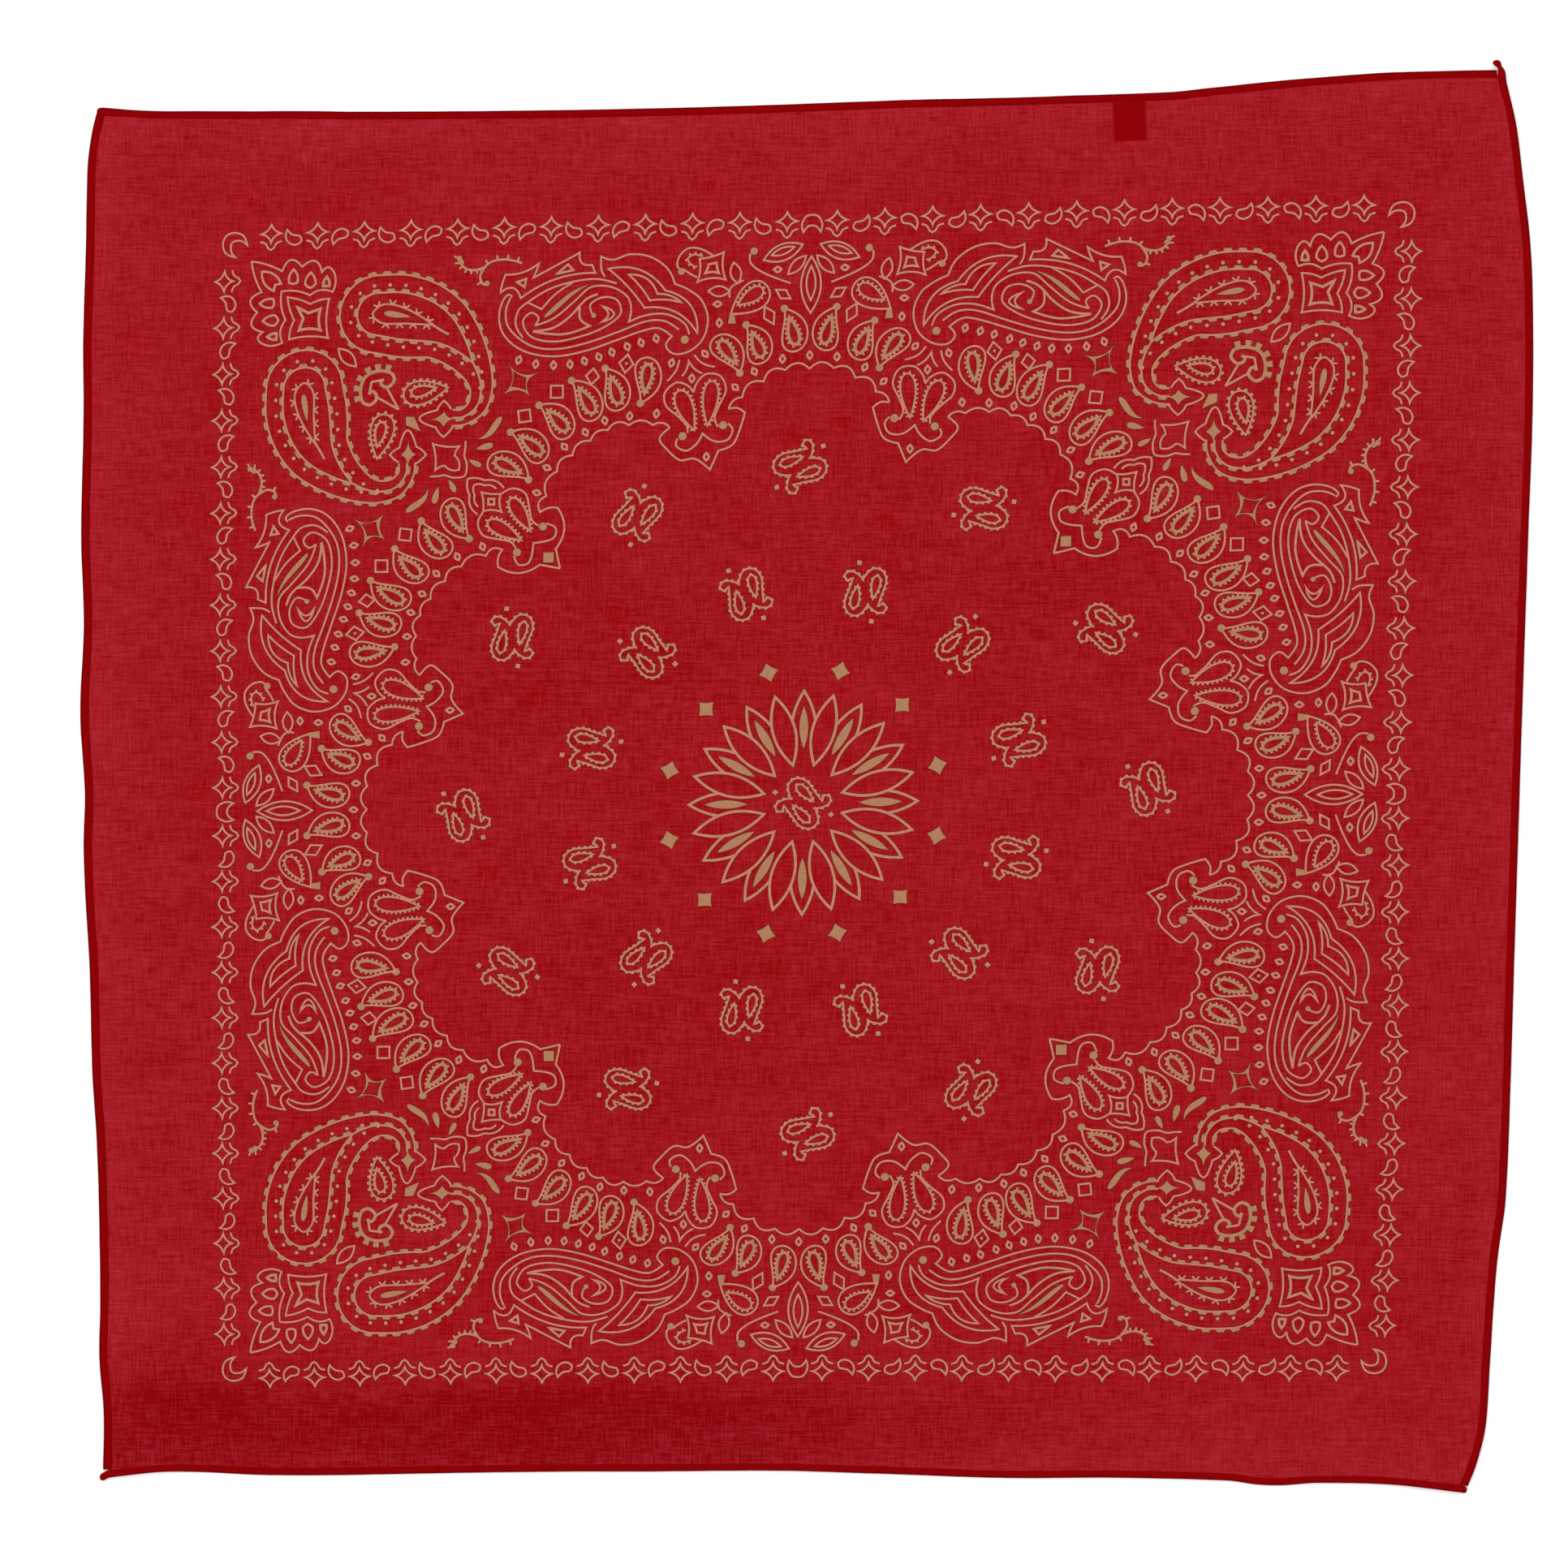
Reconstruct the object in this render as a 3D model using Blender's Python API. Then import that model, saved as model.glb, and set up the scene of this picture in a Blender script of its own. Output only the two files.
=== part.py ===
"""Bandana: one square of thin printed cotton with four rolled hems and a label under its top hem.

It lies face up on a table.  +Z is up, +Y is its top edge, and the origin is on the table under the
middle of its outline.  Lengths in the tables are in millimetres; objects are built in metres.
"""
import math
from collections import namedtuple

import bmesh
import bpy
from mathutils import Vector

MM = 0.001

# ---- Driving dimensions, in millimetres -----------------------------------------------------------------
CLOTH_WALL = 1.2          # the panel's wall
SEAM_GAP = 0.3            # between sewn pieces
HEM_HEIGHT = 1.9          # a rolled hem, from the table to its crown
HEM_ROUND = 0.6           # how much each edge of the roll is rounded off
LABEL_WIDTH = 13.3
LABEL_LENGTH = 16.0
LABEL_WALL = 0.8
PANEL_CELLS = 40          # cells across and down the panel
FLAT_BELOW = 0.02         # a lift smaller than this lies flat on the table

# The panel's own corners, inside the hems: the square hangs a little off true.
Corner = namedtuple("Corner", "x y")
CORNERS = {
    "top_left": Corner(-281.8, 264.9),
    "top_right": Corner(276.8, 280.0),
    "bottom_right": Corner(261.8, -284.6),
    "bottom_left": Corner(-279.2, -278.6),
}

# How far a side's edge stands out from the straight line between its corners, share by share along it.
Bow = namedtuple("Bow", "share out")
TOP_BOW = [
    Bow(0.000, 0.0), Bow(0.030, -1.7), Bow(0.075, -2.2), Bow(0.196, -4.2), Bow(0.317, -5.5),
    Bow(0.439, -5.9), Bow(0.560, -5.4), Bow(0.762, -5.2), Bow(0.802, -3.4), Bow(0.842, -1.7),
    Bow(0.883, -0.4), Bow(0.923, 0.5), Bow(0.964, 0.2), Bow(1.000, 0.0),
]
RIGHT_BOW = [
    Bow(0.000, 0.0), Bow(0.035, 5.2), Bow(0.075, 8.9), Bow(0.115, 12.1), Bow(0.156, 13.8),
    Bow(0.236, 14.9), Bow(0.316, 14.5), Bow(0.476, 13.8), Bow(0.636, 13.4), Bow(0.716, 13.2),
    Bow(0.796, 12.5), Bow(0.836, 10.0), Bow(0.876, 8.7), Bow(0.916, 7.9), Bow(0.956, 6.9),
    Bow(0.982, 3.7), Bow(1.000, 0.0),
]
BOTTOM_BOW = [
    Bow(0.000, 0.0), Bow(0.046, -2.5), Bow(0.105, -2.9), Bow(0.132, -1.8), Bow(0.150, -2.0),
    Bow(0.170, -3.4), Bow(0.254, -4.1), Bow(0.338, -3.5), Bow(0.421, -4.5), Bow(0.504, -5.4),
    Bow(0.600, -4.5), Bow(0.671, -4.0), Bow(0.754, -2.9), Bow(0.837, -1.6), Bow(0.890, -1.4),
    Bow(0.930, -2.2), Bow(0.965, -2.2), Bow(1.000, 0.0),
]
LEFT_BOW = [
    Bow(0.000, 0.0), Bow(0.042, -0.4), Bow(0.083, 1.2), Bow(0.120, 0.9), Bow(0.208, 1.5),
    Bow(0.250, 2.3), Bow(0.291, 3.7), Bow(0.374, 4.7), Bow(0.458, 6.8), Bow(0.499, 6.2),
    Bow(0.560, 7.9), Bow(0.624, 6.3), Bow(0.690, 7.2), Bow(0.790, 5.8), Bow(0.832, 6.0),
    Bow(0.900, 4.8), Bow(0.960, 3.8), Bow(0.983, 2.2), Bow(1.000, 0.0),
]

# The sections at a hem's ends: how far each lies past the panel's corner (a minus stops short of it), how
# far aside (outwards) it is, its size against the plain roll, and how much further on its outer side runs.
HemEnd = namedtuple("HemEnd", "past aside size slant")
PLAIN_ROLL = HemEnd(0.0, 0.0, 1.0, 0.0)
BUTTED = [HemEnd(-0.2, 0.0, 1.0, 0.0)]
BUTTED_ASKEW = [HemEnd(-0.6, 0.0, 1.0, -0.5)]
ROUNDED_CORNER = [HemEnd(0.8, 0.0, 1.0, 0.0), HemEnd(2.4, -0.1, 0.92, 0.0), HemEnd(3.3, -0.3, 0.60, 0.0)]
TIGHT_CORNER = [HemEnd(0.8, 0.0, 1.0, 0.0), HemEnd(2.2, 0.2, 0.95, 0.0), HemEnd(3.1, 0.3, 0.60, 0.0)]
KNOB_END = [
    HemEnd(1.6, 0.1, 1.0, 0.0), HemEnd(3.0, 0.7, 1.08, 0.0), HemEnd(4.3, 1.1, 0.95, 0.0),
    HemEnd(5.1, 1.2, 0.50, 0.0),
]
CURLED_TAIL = [
    HemEnd(1.0, 0.5, 1.0, 0.0), HemEnd(2.4, 0.65, 0.85, 0.0), HemEnd(3.4, 0.65, 0.62, 0.0),
    HemEnd(4.2, 0.45, 0.50, 0.0), HemEnd(4.8, 0.1, 0.75, 0.0), HemEnd(5.7, -0.25, 0.92, 0.0),
    HemEnd(6.5, -0.4, 0.80, 0.0), HemEnd(7.1, -0.45, 0.40, 0.0),
]

Side = namedtuple("Side", "node first last bow hem_width first_end last_end")
SIDES = {
    "top": Side("hem_top", "top_left", "top_right", TOP_BOW, 2.8, ROUNDED_CORNER, BUTTED),
    "right": Side("hem_right", "top_right", "bottom_right", RIGHT_BOW, 2.9, CURLED_TAIL, BUTTED_ASKEW),
    "bottom": Side("hem_bottom", "bottom_right", "bottom_left", BOTTOM_BOW, 2.6, TIGHT_CORNER, KNOB_END),
    "left": Side("hem_left", "bottom_left", "top_left", LEFT_BOW, 3.1, BUTTED, BUTTED),
}

# Where the cloth lifts off the table: soft ridges from one end to the other, in millimetres.
Ridge = namedtuple("Ridge", "name x0 y0 x1 y1 half_width lift")
RIDGES = [
    Ridge("crease left of the middle", -132, -9, -34, -38, 25, 2.6),
    Ridge("crease below the middle", -38, -69, 108, -48, 25, 2.1),
    Ridge("lower crease", -44, -106, 90, -115, 24, 2.2),
    Ridge("upper left crease", -154, 73, -76, 51, 24, 1.8),
    Ridge("roll along the bottom, left", -262, -232, -92, -240, 44, 4.6),
    Ridge("roll along the bottom, middle", -92, -240, 12, -250, 38, 3.4),
    Ridge("swell along the bottom, right", 70, -256, 214, -262, 30, 2.0),
    Ridge("swell down the right edge", 264, 172, 260, -30, 32, 2.6),
    Ridge("swell low on the right edge", 258, -118, 244, -196, 30, 2.2),
    Ridge("fold in the top edge, left", -204, 262, -202, 226, 24, 1.7),
    Ridge("fold in the top edge, middle", 44, 266, 43, 234, 24, 1.6),
    Ridge("wave in the left edge", -280, 156, -246, 150, 26, 2.2),
    Ridge("wave low in the left edge", -282, -52, -250, -60, 26, 1.9),
    Ridge("top left corner", -278, 262, -262, 246, 34, 3.2),
    Ridge("top right corner", 274, 278, 256, 258, 36, 3.6),
    Ridge("bottom right corner", 258, -280, 244, -262, 32, 2.8),
    Ridge("bottom left corner", -276, -274, -264, -262, 30, 2.0),
]

# The label lies between the table and the panel, which rises over it with this much room all round.
LABEL_MIDDLE_SHARE = 0.7355   # along the top edge, from the left
LABEL_RISE_FLAT = 23.0        # half-width of the raised flat
LABEL_RISE_EDGE = 17.0        # the slope from there down to the table

CLOTH_RED = (0.366, 0.008, 0.014)
HEM_RED = (0.290, 0.004, 0.008)
LABEL_RED = (0.287, 0.001, 0.004)


# ---- The cloth's outline and lift -----------------------------------------------------------------------
def smooth_reading(rows, share):
    """Value of a two-column table at `share`, through its rows on smooth cubics."""
    last = len(rows) - 1
    slopes = []
    for i in range(last + 1):
        before, after = rows[max(i - 1, 0)], rows[min(i + 1, last)]
        slopes.append((after.out - before.out) / (after.share - before.share))
    i = 0
    while i < last - 1 and share > rows[i + 1].share:
        i += 1
    run = rows[i + 1].share - rows[i].share
    t = (share - rows[i].share) / run
    rise = rows[i + 1].out - rows[i].out
    return (rows[i].out + run * slopes[i] * t + (3 * rise - run * (2 * slopes[i] + slopes[i + 1])) * t * t
            + (run * (slopes[i] + slopes[i + 1]) - 2 * rise) * t ** 3)


def chord(side):
    """A side's first corner, the unit way along it, its length and the unit way out of the cloth."""
    first, last = CORNERS[side.first], CORNERS[side.last]
    length = math.hypot(last.x - first.x, last.y - first.y)
    way = Vector(((last.x - first.x) / length, (last.y - first.y) / length))
    return Vector(first), way, length, Vector((-way.y, way.x))


def edge_point(side, share):
    """The panel's edge on this side."""
    start, way, length, outwards = chord(side)
    return start + way * (length * share) + outwards * smooth_reading(side.bow, share)


def edge_frame(side, share, step=0.002):
    """The panel's edge, its unit way along and its unit way outwards."""
    low, high = max(share - step, 0.0), min(share + step, 1.0)
    way = (edge_point(side, high) - edge_point(side, low)).normalized()
    return edge_point(side, share), way, Vector((-way.y, way.x))


def label_room():
    """Middle of the label's top edge, and the middle of the label."""
    top, _, outwards = edge_frame(SIDES["top"], LABEL_MIDDLE_SHARE)
    return top, top - outwards * (LABEL_LENGTH / 2)


def smooth_step(t):
    t = min(max(t, 0.0), 1.0)
    return t * t * (3 - 2 * t)


def ridge_lift(ridge, point):
    """A round-ended ridge, highest at its middle and lower towards both ends."""
    start, end = Vector((ridge.x0, ridge.y0)), Vector((ridge.x1, ridge.y1))
    run = end - start
    along = min(max((point - start).dot(run) / run.length_squared, 0.0), 1.0)
    away = (point - (start + run * along)).length
    if away >= ridge.half_width:
        return 0.0
    crown = 1.0 - 0.35 * (2 * along - 1) ** 2
    return ridge.lift * crown * (0.5 + 0.5 * math.cos(math.pi * away / ridge.half_width))


def label_lift(point):
    """The panel's rise over the label: a low flat with soft slopes."""
    across = point - label_room()[1]
    away = max(abs(across.x), abs(across.y)) - LABEL_RISE_FLAT
    return (LABEL_WALL + SEAM_GAP) * smooth_step(1.0 - away / LABEL_RISE_EDGE)


def lift(point):
    """Height of the cloth's underside over the table."""
    height = sum(ridge_lift(ridge, point) for ridge in RIDGES) + label_lift(point)
    return height if height > FLAT_BELOW else 0.0


def panel_point(across, down):
    """A point of the panel from shares of its width and depth, blended from its four edges."""
    top = edge_point(SIDES["top"], across)
    bottom = edge_point(SIDES["bottom"], 1 - across)
    left = edge_point(SIDES["left"], 1 - down)
    right = edge_point(SIDES["right"], down)
    top_left, top_right, bottom_right, bottom_left = (Vector(corner) for corner in CORNERS.values())
    from_corners = ((top_left * (1 - across) + top_right * across) * (1 - down)
                    + (bottom_left * (1 - across) + bottom_right * across) * down)
    return top * (1 - down) + bottom * down + left * (1 - across) + right * across - from_corners


# ---- Mesh tools -----------------------------------------------------------------------------------------
def make_object(name, mesh_builder, colour, roughness):
    """Turn a bmesh in millimetres into a named object in metres, with its own material."""
    bmesh.ops.scale(mesh_builder, vec=(MM, MM, MM), verts=mesh_builder.verts)
    bmesh.ops.triangulate(mesh_builder, faces=mesh_builder.faces)
    mesh = bpy.data.meshes.new(name)
    mesh_builder.to_mesh(mesh)
    mesh_builder.free()
    mesh.shade_smooth()
    mesh.set_sharp_from_angle(angle=math.radians(40))
    material = bpy.data.materials.new(name + "_cotton")
    material.use_nodes = True
    shader = material.node_tree.nodes["Principled BSDF"]
    shader.inputs["Base Color"].default_value = (*colour, 1.0)
    shader.inputs["Roughness"].default_value = roughness
    shader.inputs["Metallic"].default_value = 0.0
    mesh.materials.append(material)
    piece = bpy.data.objects.new(name, mesh)
    bpy.context.scene.collection.objects.link(piece)
    return piece


def skin_grid(builder, upper, lower):
    """Close two matching grids of points, rows by columns, into one wall."""
    rows, columns = len(upper), len(upper[0])
    top = [[builder.verts.new(p) for p in row] for row in upper]
    under = [[builder.verts.new(p) for p in row] for row in lower]
    for i in range(rows - 1):
        for j in range(columns - 1):
            builder.faces.new((top[i][j], top[i + 1][j], top[i + 1][j + 1], top[i][j + 1]))
            builder.faces.new((under[i][j], under[i][j + 1], under[i + 1][j + 1], under[i + 1][j]))
    rim = ([(0, j) for j in range(columns - 1)] + [(i, columns - 1) for i in range(rows - 1)]
           + [(rows - 1, j) for j in range(columns - 1, 0, -1)] + [(i, 0) for i in range(rows - 1, 0, -1)])
    for (i, j), (k, m) in zip(rim, rim[1:] + rim[:1]):
        builder.faces.new((top[i][j], top[k][m], under[k][m], under[i][j]))


def skin_rings(builder, rings):
    """Join rings of points into one closed roll with flat ends."""
    loops = [[builder.verts.new(p) for p in ring] for ring in rings]
    count = len(rings[0])
    for near, far in zip(loops, loops[1:]):
        for k in range(count):
            n = (k + 1) % count
            builder.faces.new((near[k], far[k], far[n], near[n]))
    builder.faces.new(loops[0])
    builder.faces.new(loops[-1][::-1])


# ---- The pieces -----------------------------------------------------------------------------------------
def build_panel():
    """The square of cloth: a wall over its own lift, its rows running from the top edge down."""
    shares = [i / PANEL_CELLS for i in range(PANEL_CELLS + 1)]
    spots = [[panel_point(across, down) for across in shares] for down in shares]
    lifts = [[lift(spot) for spot in row] for row in spots]
    lower = [[(p.x, p.y, z) for p, z in zip(*row)] for row in zip(spots, lifts)]
    upper = [[(p.x, p.y, z + CLOTH_WALL) for p, z in zip(*row)] for row in zip(spots, lifts)]
    builder = bmesh.new()
    skin_grid(builder, upper, lower)
    return make_object("cloth_panel", builder, CLOTH_RED, 0.9)


def roll_section(width, height):
    """A rolled hem's section: (outwards, up) from its inner foot, flat underneath, its edges rounded."""
    r = HEM_ROUND * height / HEM_HEIGHT
    return [(r, 0), (0, r), (0, height - r), (r, height), (width - r, height), (width, height - r),
            (width, r), (width - r, 0)]


def build_hem(side):
    """A rolled hem along one side, a seam's gap outside the panel, with its own sewn ends."""
    sections = [(0.0, -1, end) for end in reversed(side.first_end)]
    sections += [(i / PANEL_CELLS, 0, PLAIN_ROLL) for i in range(1, PANEL_CELLS)]
    sections += [(1.0, 1, end) for end in side.last_end]

    rings = []
    for share, heading, end in sections:
        spot, way, outwards = edge_frame(side, share)
        middle = spot + way * (heading * end.past) + outwards * (SEAM_GAP + side.hem_width / 2 + end.aside)
        width, height = side.hem_width * end.size, HEM_HEIGHT * end.size
        foot = lift(middle)
        ring = []
        for out, up in roll_section(width, height):
            askew = out / width - 0.5
            corner = middle + outwards * (askew * width) + way * (heading * end.slant * askew)
            ring.append((corner.x, corner.y, foot + up))
        rings.append(ring)
    builder = bmesh.new()
    skin_rings(builder, rings)
    return make_object(side.node, builder, HEM_RED, 0.85)


def build_label():
    """A small woven label, flat on the table under the panel, its top edge against the top hem."""
    top, way, outwards = edge_frame(SIDES["top"], LABEL_MIDDLE_SHARE)
    columns, rows = 4, 5
    spots = [[top + way * (LABEL_WIDTH * (j / columns - 0.5)) - outwards * (LABEL_LENGTH * i / rows)
              for j in range(columns + 1)] for i in range(rows + 1)]
    builder = bmesh.new()
    skin_grid(builder, [[(p.x, p.y, LABEL_WALL) for p in row] for row in spots],
              [[(p.x, p.y, 0.0) for p in row] for row in spots])
    return make_object("label", builder, LABEL_RED, 0.7)


def main():
    for old in list(bpy.data.objects):
        bpy.data.objects.remove(old)
    build_panel()
    for side in SIDES.values():
        build_hem(side)
    build_label()


main()
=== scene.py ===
"""Paisley bandana: printed cotton square with rolled, stitched hems and a blank label on its back.

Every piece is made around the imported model, in its frame: +Z up out of the printed face, +Y towards the
edge that holds the label.  Tables are in millimetres; meshes are turned to metres when they are made.
"""
import math
from collections import namedtuple

import bpy
import numpy as np
from bpy.props import FloatProperty, FloatVectorProperty, IntProperty, PointerProperty
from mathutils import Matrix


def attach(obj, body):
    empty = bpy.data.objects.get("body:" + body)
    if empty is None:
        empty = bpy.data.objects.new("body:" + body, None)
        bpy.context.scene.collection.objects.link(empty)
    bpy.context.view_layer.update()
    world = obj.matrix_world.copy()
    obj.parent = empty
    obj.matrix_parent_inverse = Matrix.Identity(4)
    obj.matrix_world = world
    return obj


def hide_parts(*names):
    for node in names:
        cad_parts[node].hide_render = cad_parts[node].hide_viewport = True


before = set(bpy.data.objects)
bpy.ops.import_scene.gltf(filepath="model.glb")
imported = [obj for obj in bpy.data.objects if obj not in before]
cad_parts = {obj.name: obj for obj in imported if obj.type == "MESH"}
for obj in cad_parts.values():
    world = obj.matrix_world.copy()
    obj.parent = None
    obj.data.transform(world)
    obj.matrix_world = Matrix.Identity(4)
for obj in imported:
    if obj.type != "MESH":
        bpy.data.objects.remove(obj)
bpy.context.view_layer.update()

bl_info = {
    "name": "Paisley Bandana",
    "version": (1, 0, 0),
    "blender": (4, 5, 0),
    "location": "3D View > Sidebar > Bandana",
    "description": "Cotton bandana with rolled hems and a paisley print, laid flat",
    "category": "Add Mesh",
}

MM = 0.001
BODY = "root"


def linear(code):
    """sRGB hex code to the linear colour that Blender keeps."""
    channels = [int(code[i:i + 2], 16) / 255 for i in (1, 3, 5)]
    return tuple(c / 12.92 if c <= 0.04045 else ((c + 0.055) / 1.055) ** 2.4 for c in channels)


# ---- Sizes and colours that a user would change -----------------------------------------------------------
def colour(name, description, code):
    return FloatVectorProperty(name=name, description=description, subtype="COLOR", size=3, min=0.0,
                               max=1.0, default=linear(code))


def length(name, description, millimetres):
    return FloatProperty(name=name, description=description, subtype="DISTANCE", unit="LENGTH", min=0.0,
                         default=millimetres * MM, precision=5)


class BANDANA_PG_cloth(bpy.types.PropertyGroup):
    """The dyed cotton square"""
    wall: length("Wall", "Thickness of the cloth as built", 1.2)
    cells: IntProperty(name="Cells", description="Mesh cells across the cloth", default=190, min=20, max=200)
    thread: length("Thread", "Spacing of the threads as drawn, coarser than the real 0.4 mm", 0.8)
    slub: length("Slub", "Length of the thicker stretches in the yarn", 9.0)
    red: colour("Red", "Dyed cloth", "#840407")
    # Deep red is painted shade: the cloth's red turns to it where shade is painted, as the cloth lifts off
    # the table.
    deep: colour("Deep red", "Cloth that stands off the table and lets no light back", "#7B0206")
    pale: colour("Pale red", "Threads where the open weave lets the table through", "#A62935")
    label_shade: colour("Label shade", "Cloth darkened by the label behind it", "#7C0004")


class BANDANA_PG_hem(bpy.types.PropertyGroup):
    """The rolled edge and its stitches"""
    red: colour("Red", "Rolled cloth, three layers deep", "#840003")
    # The outer edge colour is painted shade on the roll's outer side.
    edge: colour("Outer edge", "Shaded fold along the outer side", "#560003")
    pitch: length("Pitch", "From one stitch to the next", 3.2)
    stitch: length("Stitch", "Length of one stitch", 2.3)
    thread: length("Thread", "Thickness of the sewing thread", 0.30)
    thread_red: colour("Thread", "Sewing thread", "#800003")


class BANDANA_PG_ink(bpy.types.PropertyGroup):
    """The printed lines, which stand very slightly out of the cloth"""
    tan: colour("Tan", "Solid parts, where the red is printed out", "#9B7252")
    pink: colour("Pink tan", "Thin lines, where less of the red is gone", "#BE7465")
    rim: colour("Rim", "Dark rim where the paste has bled along the threads", "#5D1813")
    relief: length("Relief", "Height of a line's top over the cloth", 0.10)
    root: length("Root", "Depth of a line's edge in the cloth", 0.06)
    fringe: length("Fringe", "Width of the dark rim, with the part of it inside the cloth", 0.50)
    weight: FloatProperty(name="Weight", description="Width of the lines against the drawing's own",
                          default=1.0, min=0.2, max=2.0)


class BANDANA_PG_stage(bpy.types.PropertyGroup):
    """Table, light and camera"""
    table: colour("Table", "Plain white table top", "#FFFFFF")
    sky: FloatProperty(name="Sky", description="Brightness of the light all round", default=0.84, min=0.0)
    lamp: FloatProperty(name="Lamp", description="Power of the soft lamp", subtype="POWER", unit="POWER",
                        default=40.0, min=0.0)
    view_width: length("View width", "Width of the view on the table", 630.1)


# ---- The cloth's outline and lift, as in the model --------------------------------------------------------
# Side of the square, in metres, with its hems turned.
CUT = 0.559
SEAM_GAP = 0.3
HEM_TUCK = 1.0
HEM_HEIGHT = 1.9
HEM_OVERLAP = 0.4
LABEL_WIDTH = 13.3
LABEL_LENGTH = 16.0
LABEL_WALL = 0.8
FLAT_BELOW = 0.02
LABEL_MIDDLE_SHARE = 0.7355
LABEL_RISE_FLAT = 23.0
LABEL_RISE_EDGE = 17.0
# Share of its lift that a ridge loses towards its ends.
RIDGE_FALL = 0.35

Corner = namedtuple("Corner", "x y")
CORNERS = {
    "top_left": Corner(-281.8, 264.9),
    "top_right": Corner(276.8, 280.0),
    "bottom_right": Corner(261.8, -284.6),
    "bottom_left": Corner(-279.2, -278.6),
}

# Share along a side, and how far the edge there stands out from the straight line between its corners.
TOP_BOW = [(0.000, 0.0), (0.030, -1.7), (0.075, -2.2), (0.196, -4.2), (0.317, -5.5), (0.439, -5.9),
           (0.560, -5.4), (0.762, -5.2), (0.802, -3.4), (0.842, -1.7), (0.883, -0.4), (0.923, 0.5),
           (0.964, 0.2), (1.000, 0.0)]
RIGHT_BOW = [(0.000, 0.0), (0.035, 5.2), (0.075, 8.9), (0.115, 12.1), (0.156, 13.8), (0.236, 14.9),
             (0.316, 14.5), (0.476, 13.8), (0.636, 13.4), (0.716, 13.2), (0.796, 12.5), (0.836, 10.0),
             (0.876, 8.7), (0.916, 7.9), (0.956, 6.9), (0.982, 3.7), (1.000, 0.0)]
BOTTOM_BOW = [(0.000, 0.0), (0.046, -2.5), (0.105, -2.9), (0.132, -1.8), (0.150, -2.0), (0.170, -3.4),
              (0.254, -4.1), (0.338, -3.5), (0.421, -4.5), (0.504, -5.4), (0.600, -4.5), (0.671, -4.0),
              (0.754, -2.9), (0.837, -1.6), (0.890, -1.4), (0.930, -2.2), (0.965, -2.2), (1.000, 0.0)]
LEFT_BOW = [(0.000, 0.0), (0.042, -0.4), (0.083, 1.2), (0.120, 0.9), (0.208, 1.5), (0.250, 2.3),
            (0.291, 3.7), (0.374, 4.7), (0.458, 6.8), (0.499, 6.2), (0.560, 7.9), (0.624, 6.3),
            (0.690, 7.2), (0.790, 5.8), (0.832, 6.0), (0.900, 4.8), (0.960, 3.8), (0.983, 2.2),
            (1.000, 0.0)]

# A hem's end sections: past the corner, aside (outwards), size against the plain roll, slant outwards.
HemEnd = namedtuple("HemEnd", "past aside size slant")
PLAIN_ROLL = HemEnd(0.0, 0.0, 1.0, 0.0)
BUTTED, BUTTED_ASKEW, ROUNDED_CORNER, TIGHT_CORNER, KNOB_END, CURLED_TAIL = (
    [HemEnd(*row) for row in rows] for rows in (
        [(-0.2, 0.0, 1.0, 0.0)],
        [(-0.6, 0.0, 1.0, -0.5)],
        [(0.8, 0.0, 1.0, 0.0), (2.4, -0.1, 0.92, 0.0), (3.3, -0.3, 0.60, 0.0)],
        [(0.8, 0.0, 1.0, 0.0), (2.2, 0.2, 0.95, 0.0), (3.1, 0.3, 0.60, 0.0)],
        [(1.6, 0.1, 1.0, 0.0), (3.0, 0.7, 1.08, 0.0), (4.3, 1.1, 0.95, 0.0), (5.1, 1.2, 0.50, 0.0)],
        [(1.0, 0.5, 1.0, 0.0), (2.4, 0.65, 0.85, 0.0), (3.4, 0.65, 0.62, 0.0), (4.2, 0.45, 0.50, 0.0),
         (4.8, 0.1, 0.75, 0.0), (5.7, -0.25, 0.92, 0.0), (6.5, -0.4, 0.80, 0.0), (7.1, -0.45, 0.40, 0.0)]))

Side = namedtuple("Side", "node first last bow hem_width first_end last_end")
SIDES = {
    "top": Side("hem_top", "top_left", "top_right", TOP_BOW, 2.8, ROUNDED_CORNER, BUTTED),
    "right": Side("hem_right", "top_right", "bottom_right", RIGHT_BOW, 2.9, CURLED_TAIL, BUTTED_ASKEW),
    "bottom": Side("hem_bottom", "bottom_right", "bottom_left", BOTTOM_BOW, 2.6, TIGHT_CORNER, KNOB_END),
    "left": Side("hem_left", "bottom_left", "top_left", LEFT_BOW, 3.1, BUTTED, BUTTED),
}

# Soft ridges where the cloth lifts off the table: from one end to the other, half-width and lift.
Ridge = namedtuple("Ridge", "x0 y0 x1 y1 half_width lift")
RIDGES = [Ridge(*row) for row in (
    (-132, -9, -34, -38, 25, 2.6), (-38, -69, 108, -48, 25, 2.1),
    (-44, -106, 90, -115, 24, 2.2), (-154, 73, -76, 51, 24, 1.8),
    (-262, -232, -92, -240, 44, 4.6), (-92, -240, 12, -250, 38, 3.4),
    (70, -256, 214, -262, 30, 2.0), (264, 172, 260, -30, 32, 2.6),
    (258, -118, 244, -196, 30, 2.2), (-204, 262, -202, 226, 24, 1.7),
    (44, 266, 43, 234, 24, 1.6), (-280, 156, -246, 150, 26, 2.2),
    (-282, -52, -250, -60, 26, 1.9), (-278, 262, -262, 246, 34, 3.2),
    (274, 278, 256, 258, 36, 3.6), (258, -280, 244, -262, 32, 2.8),
    (-276, -274, -264, -262, 30, 2.0),
)]


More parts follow.
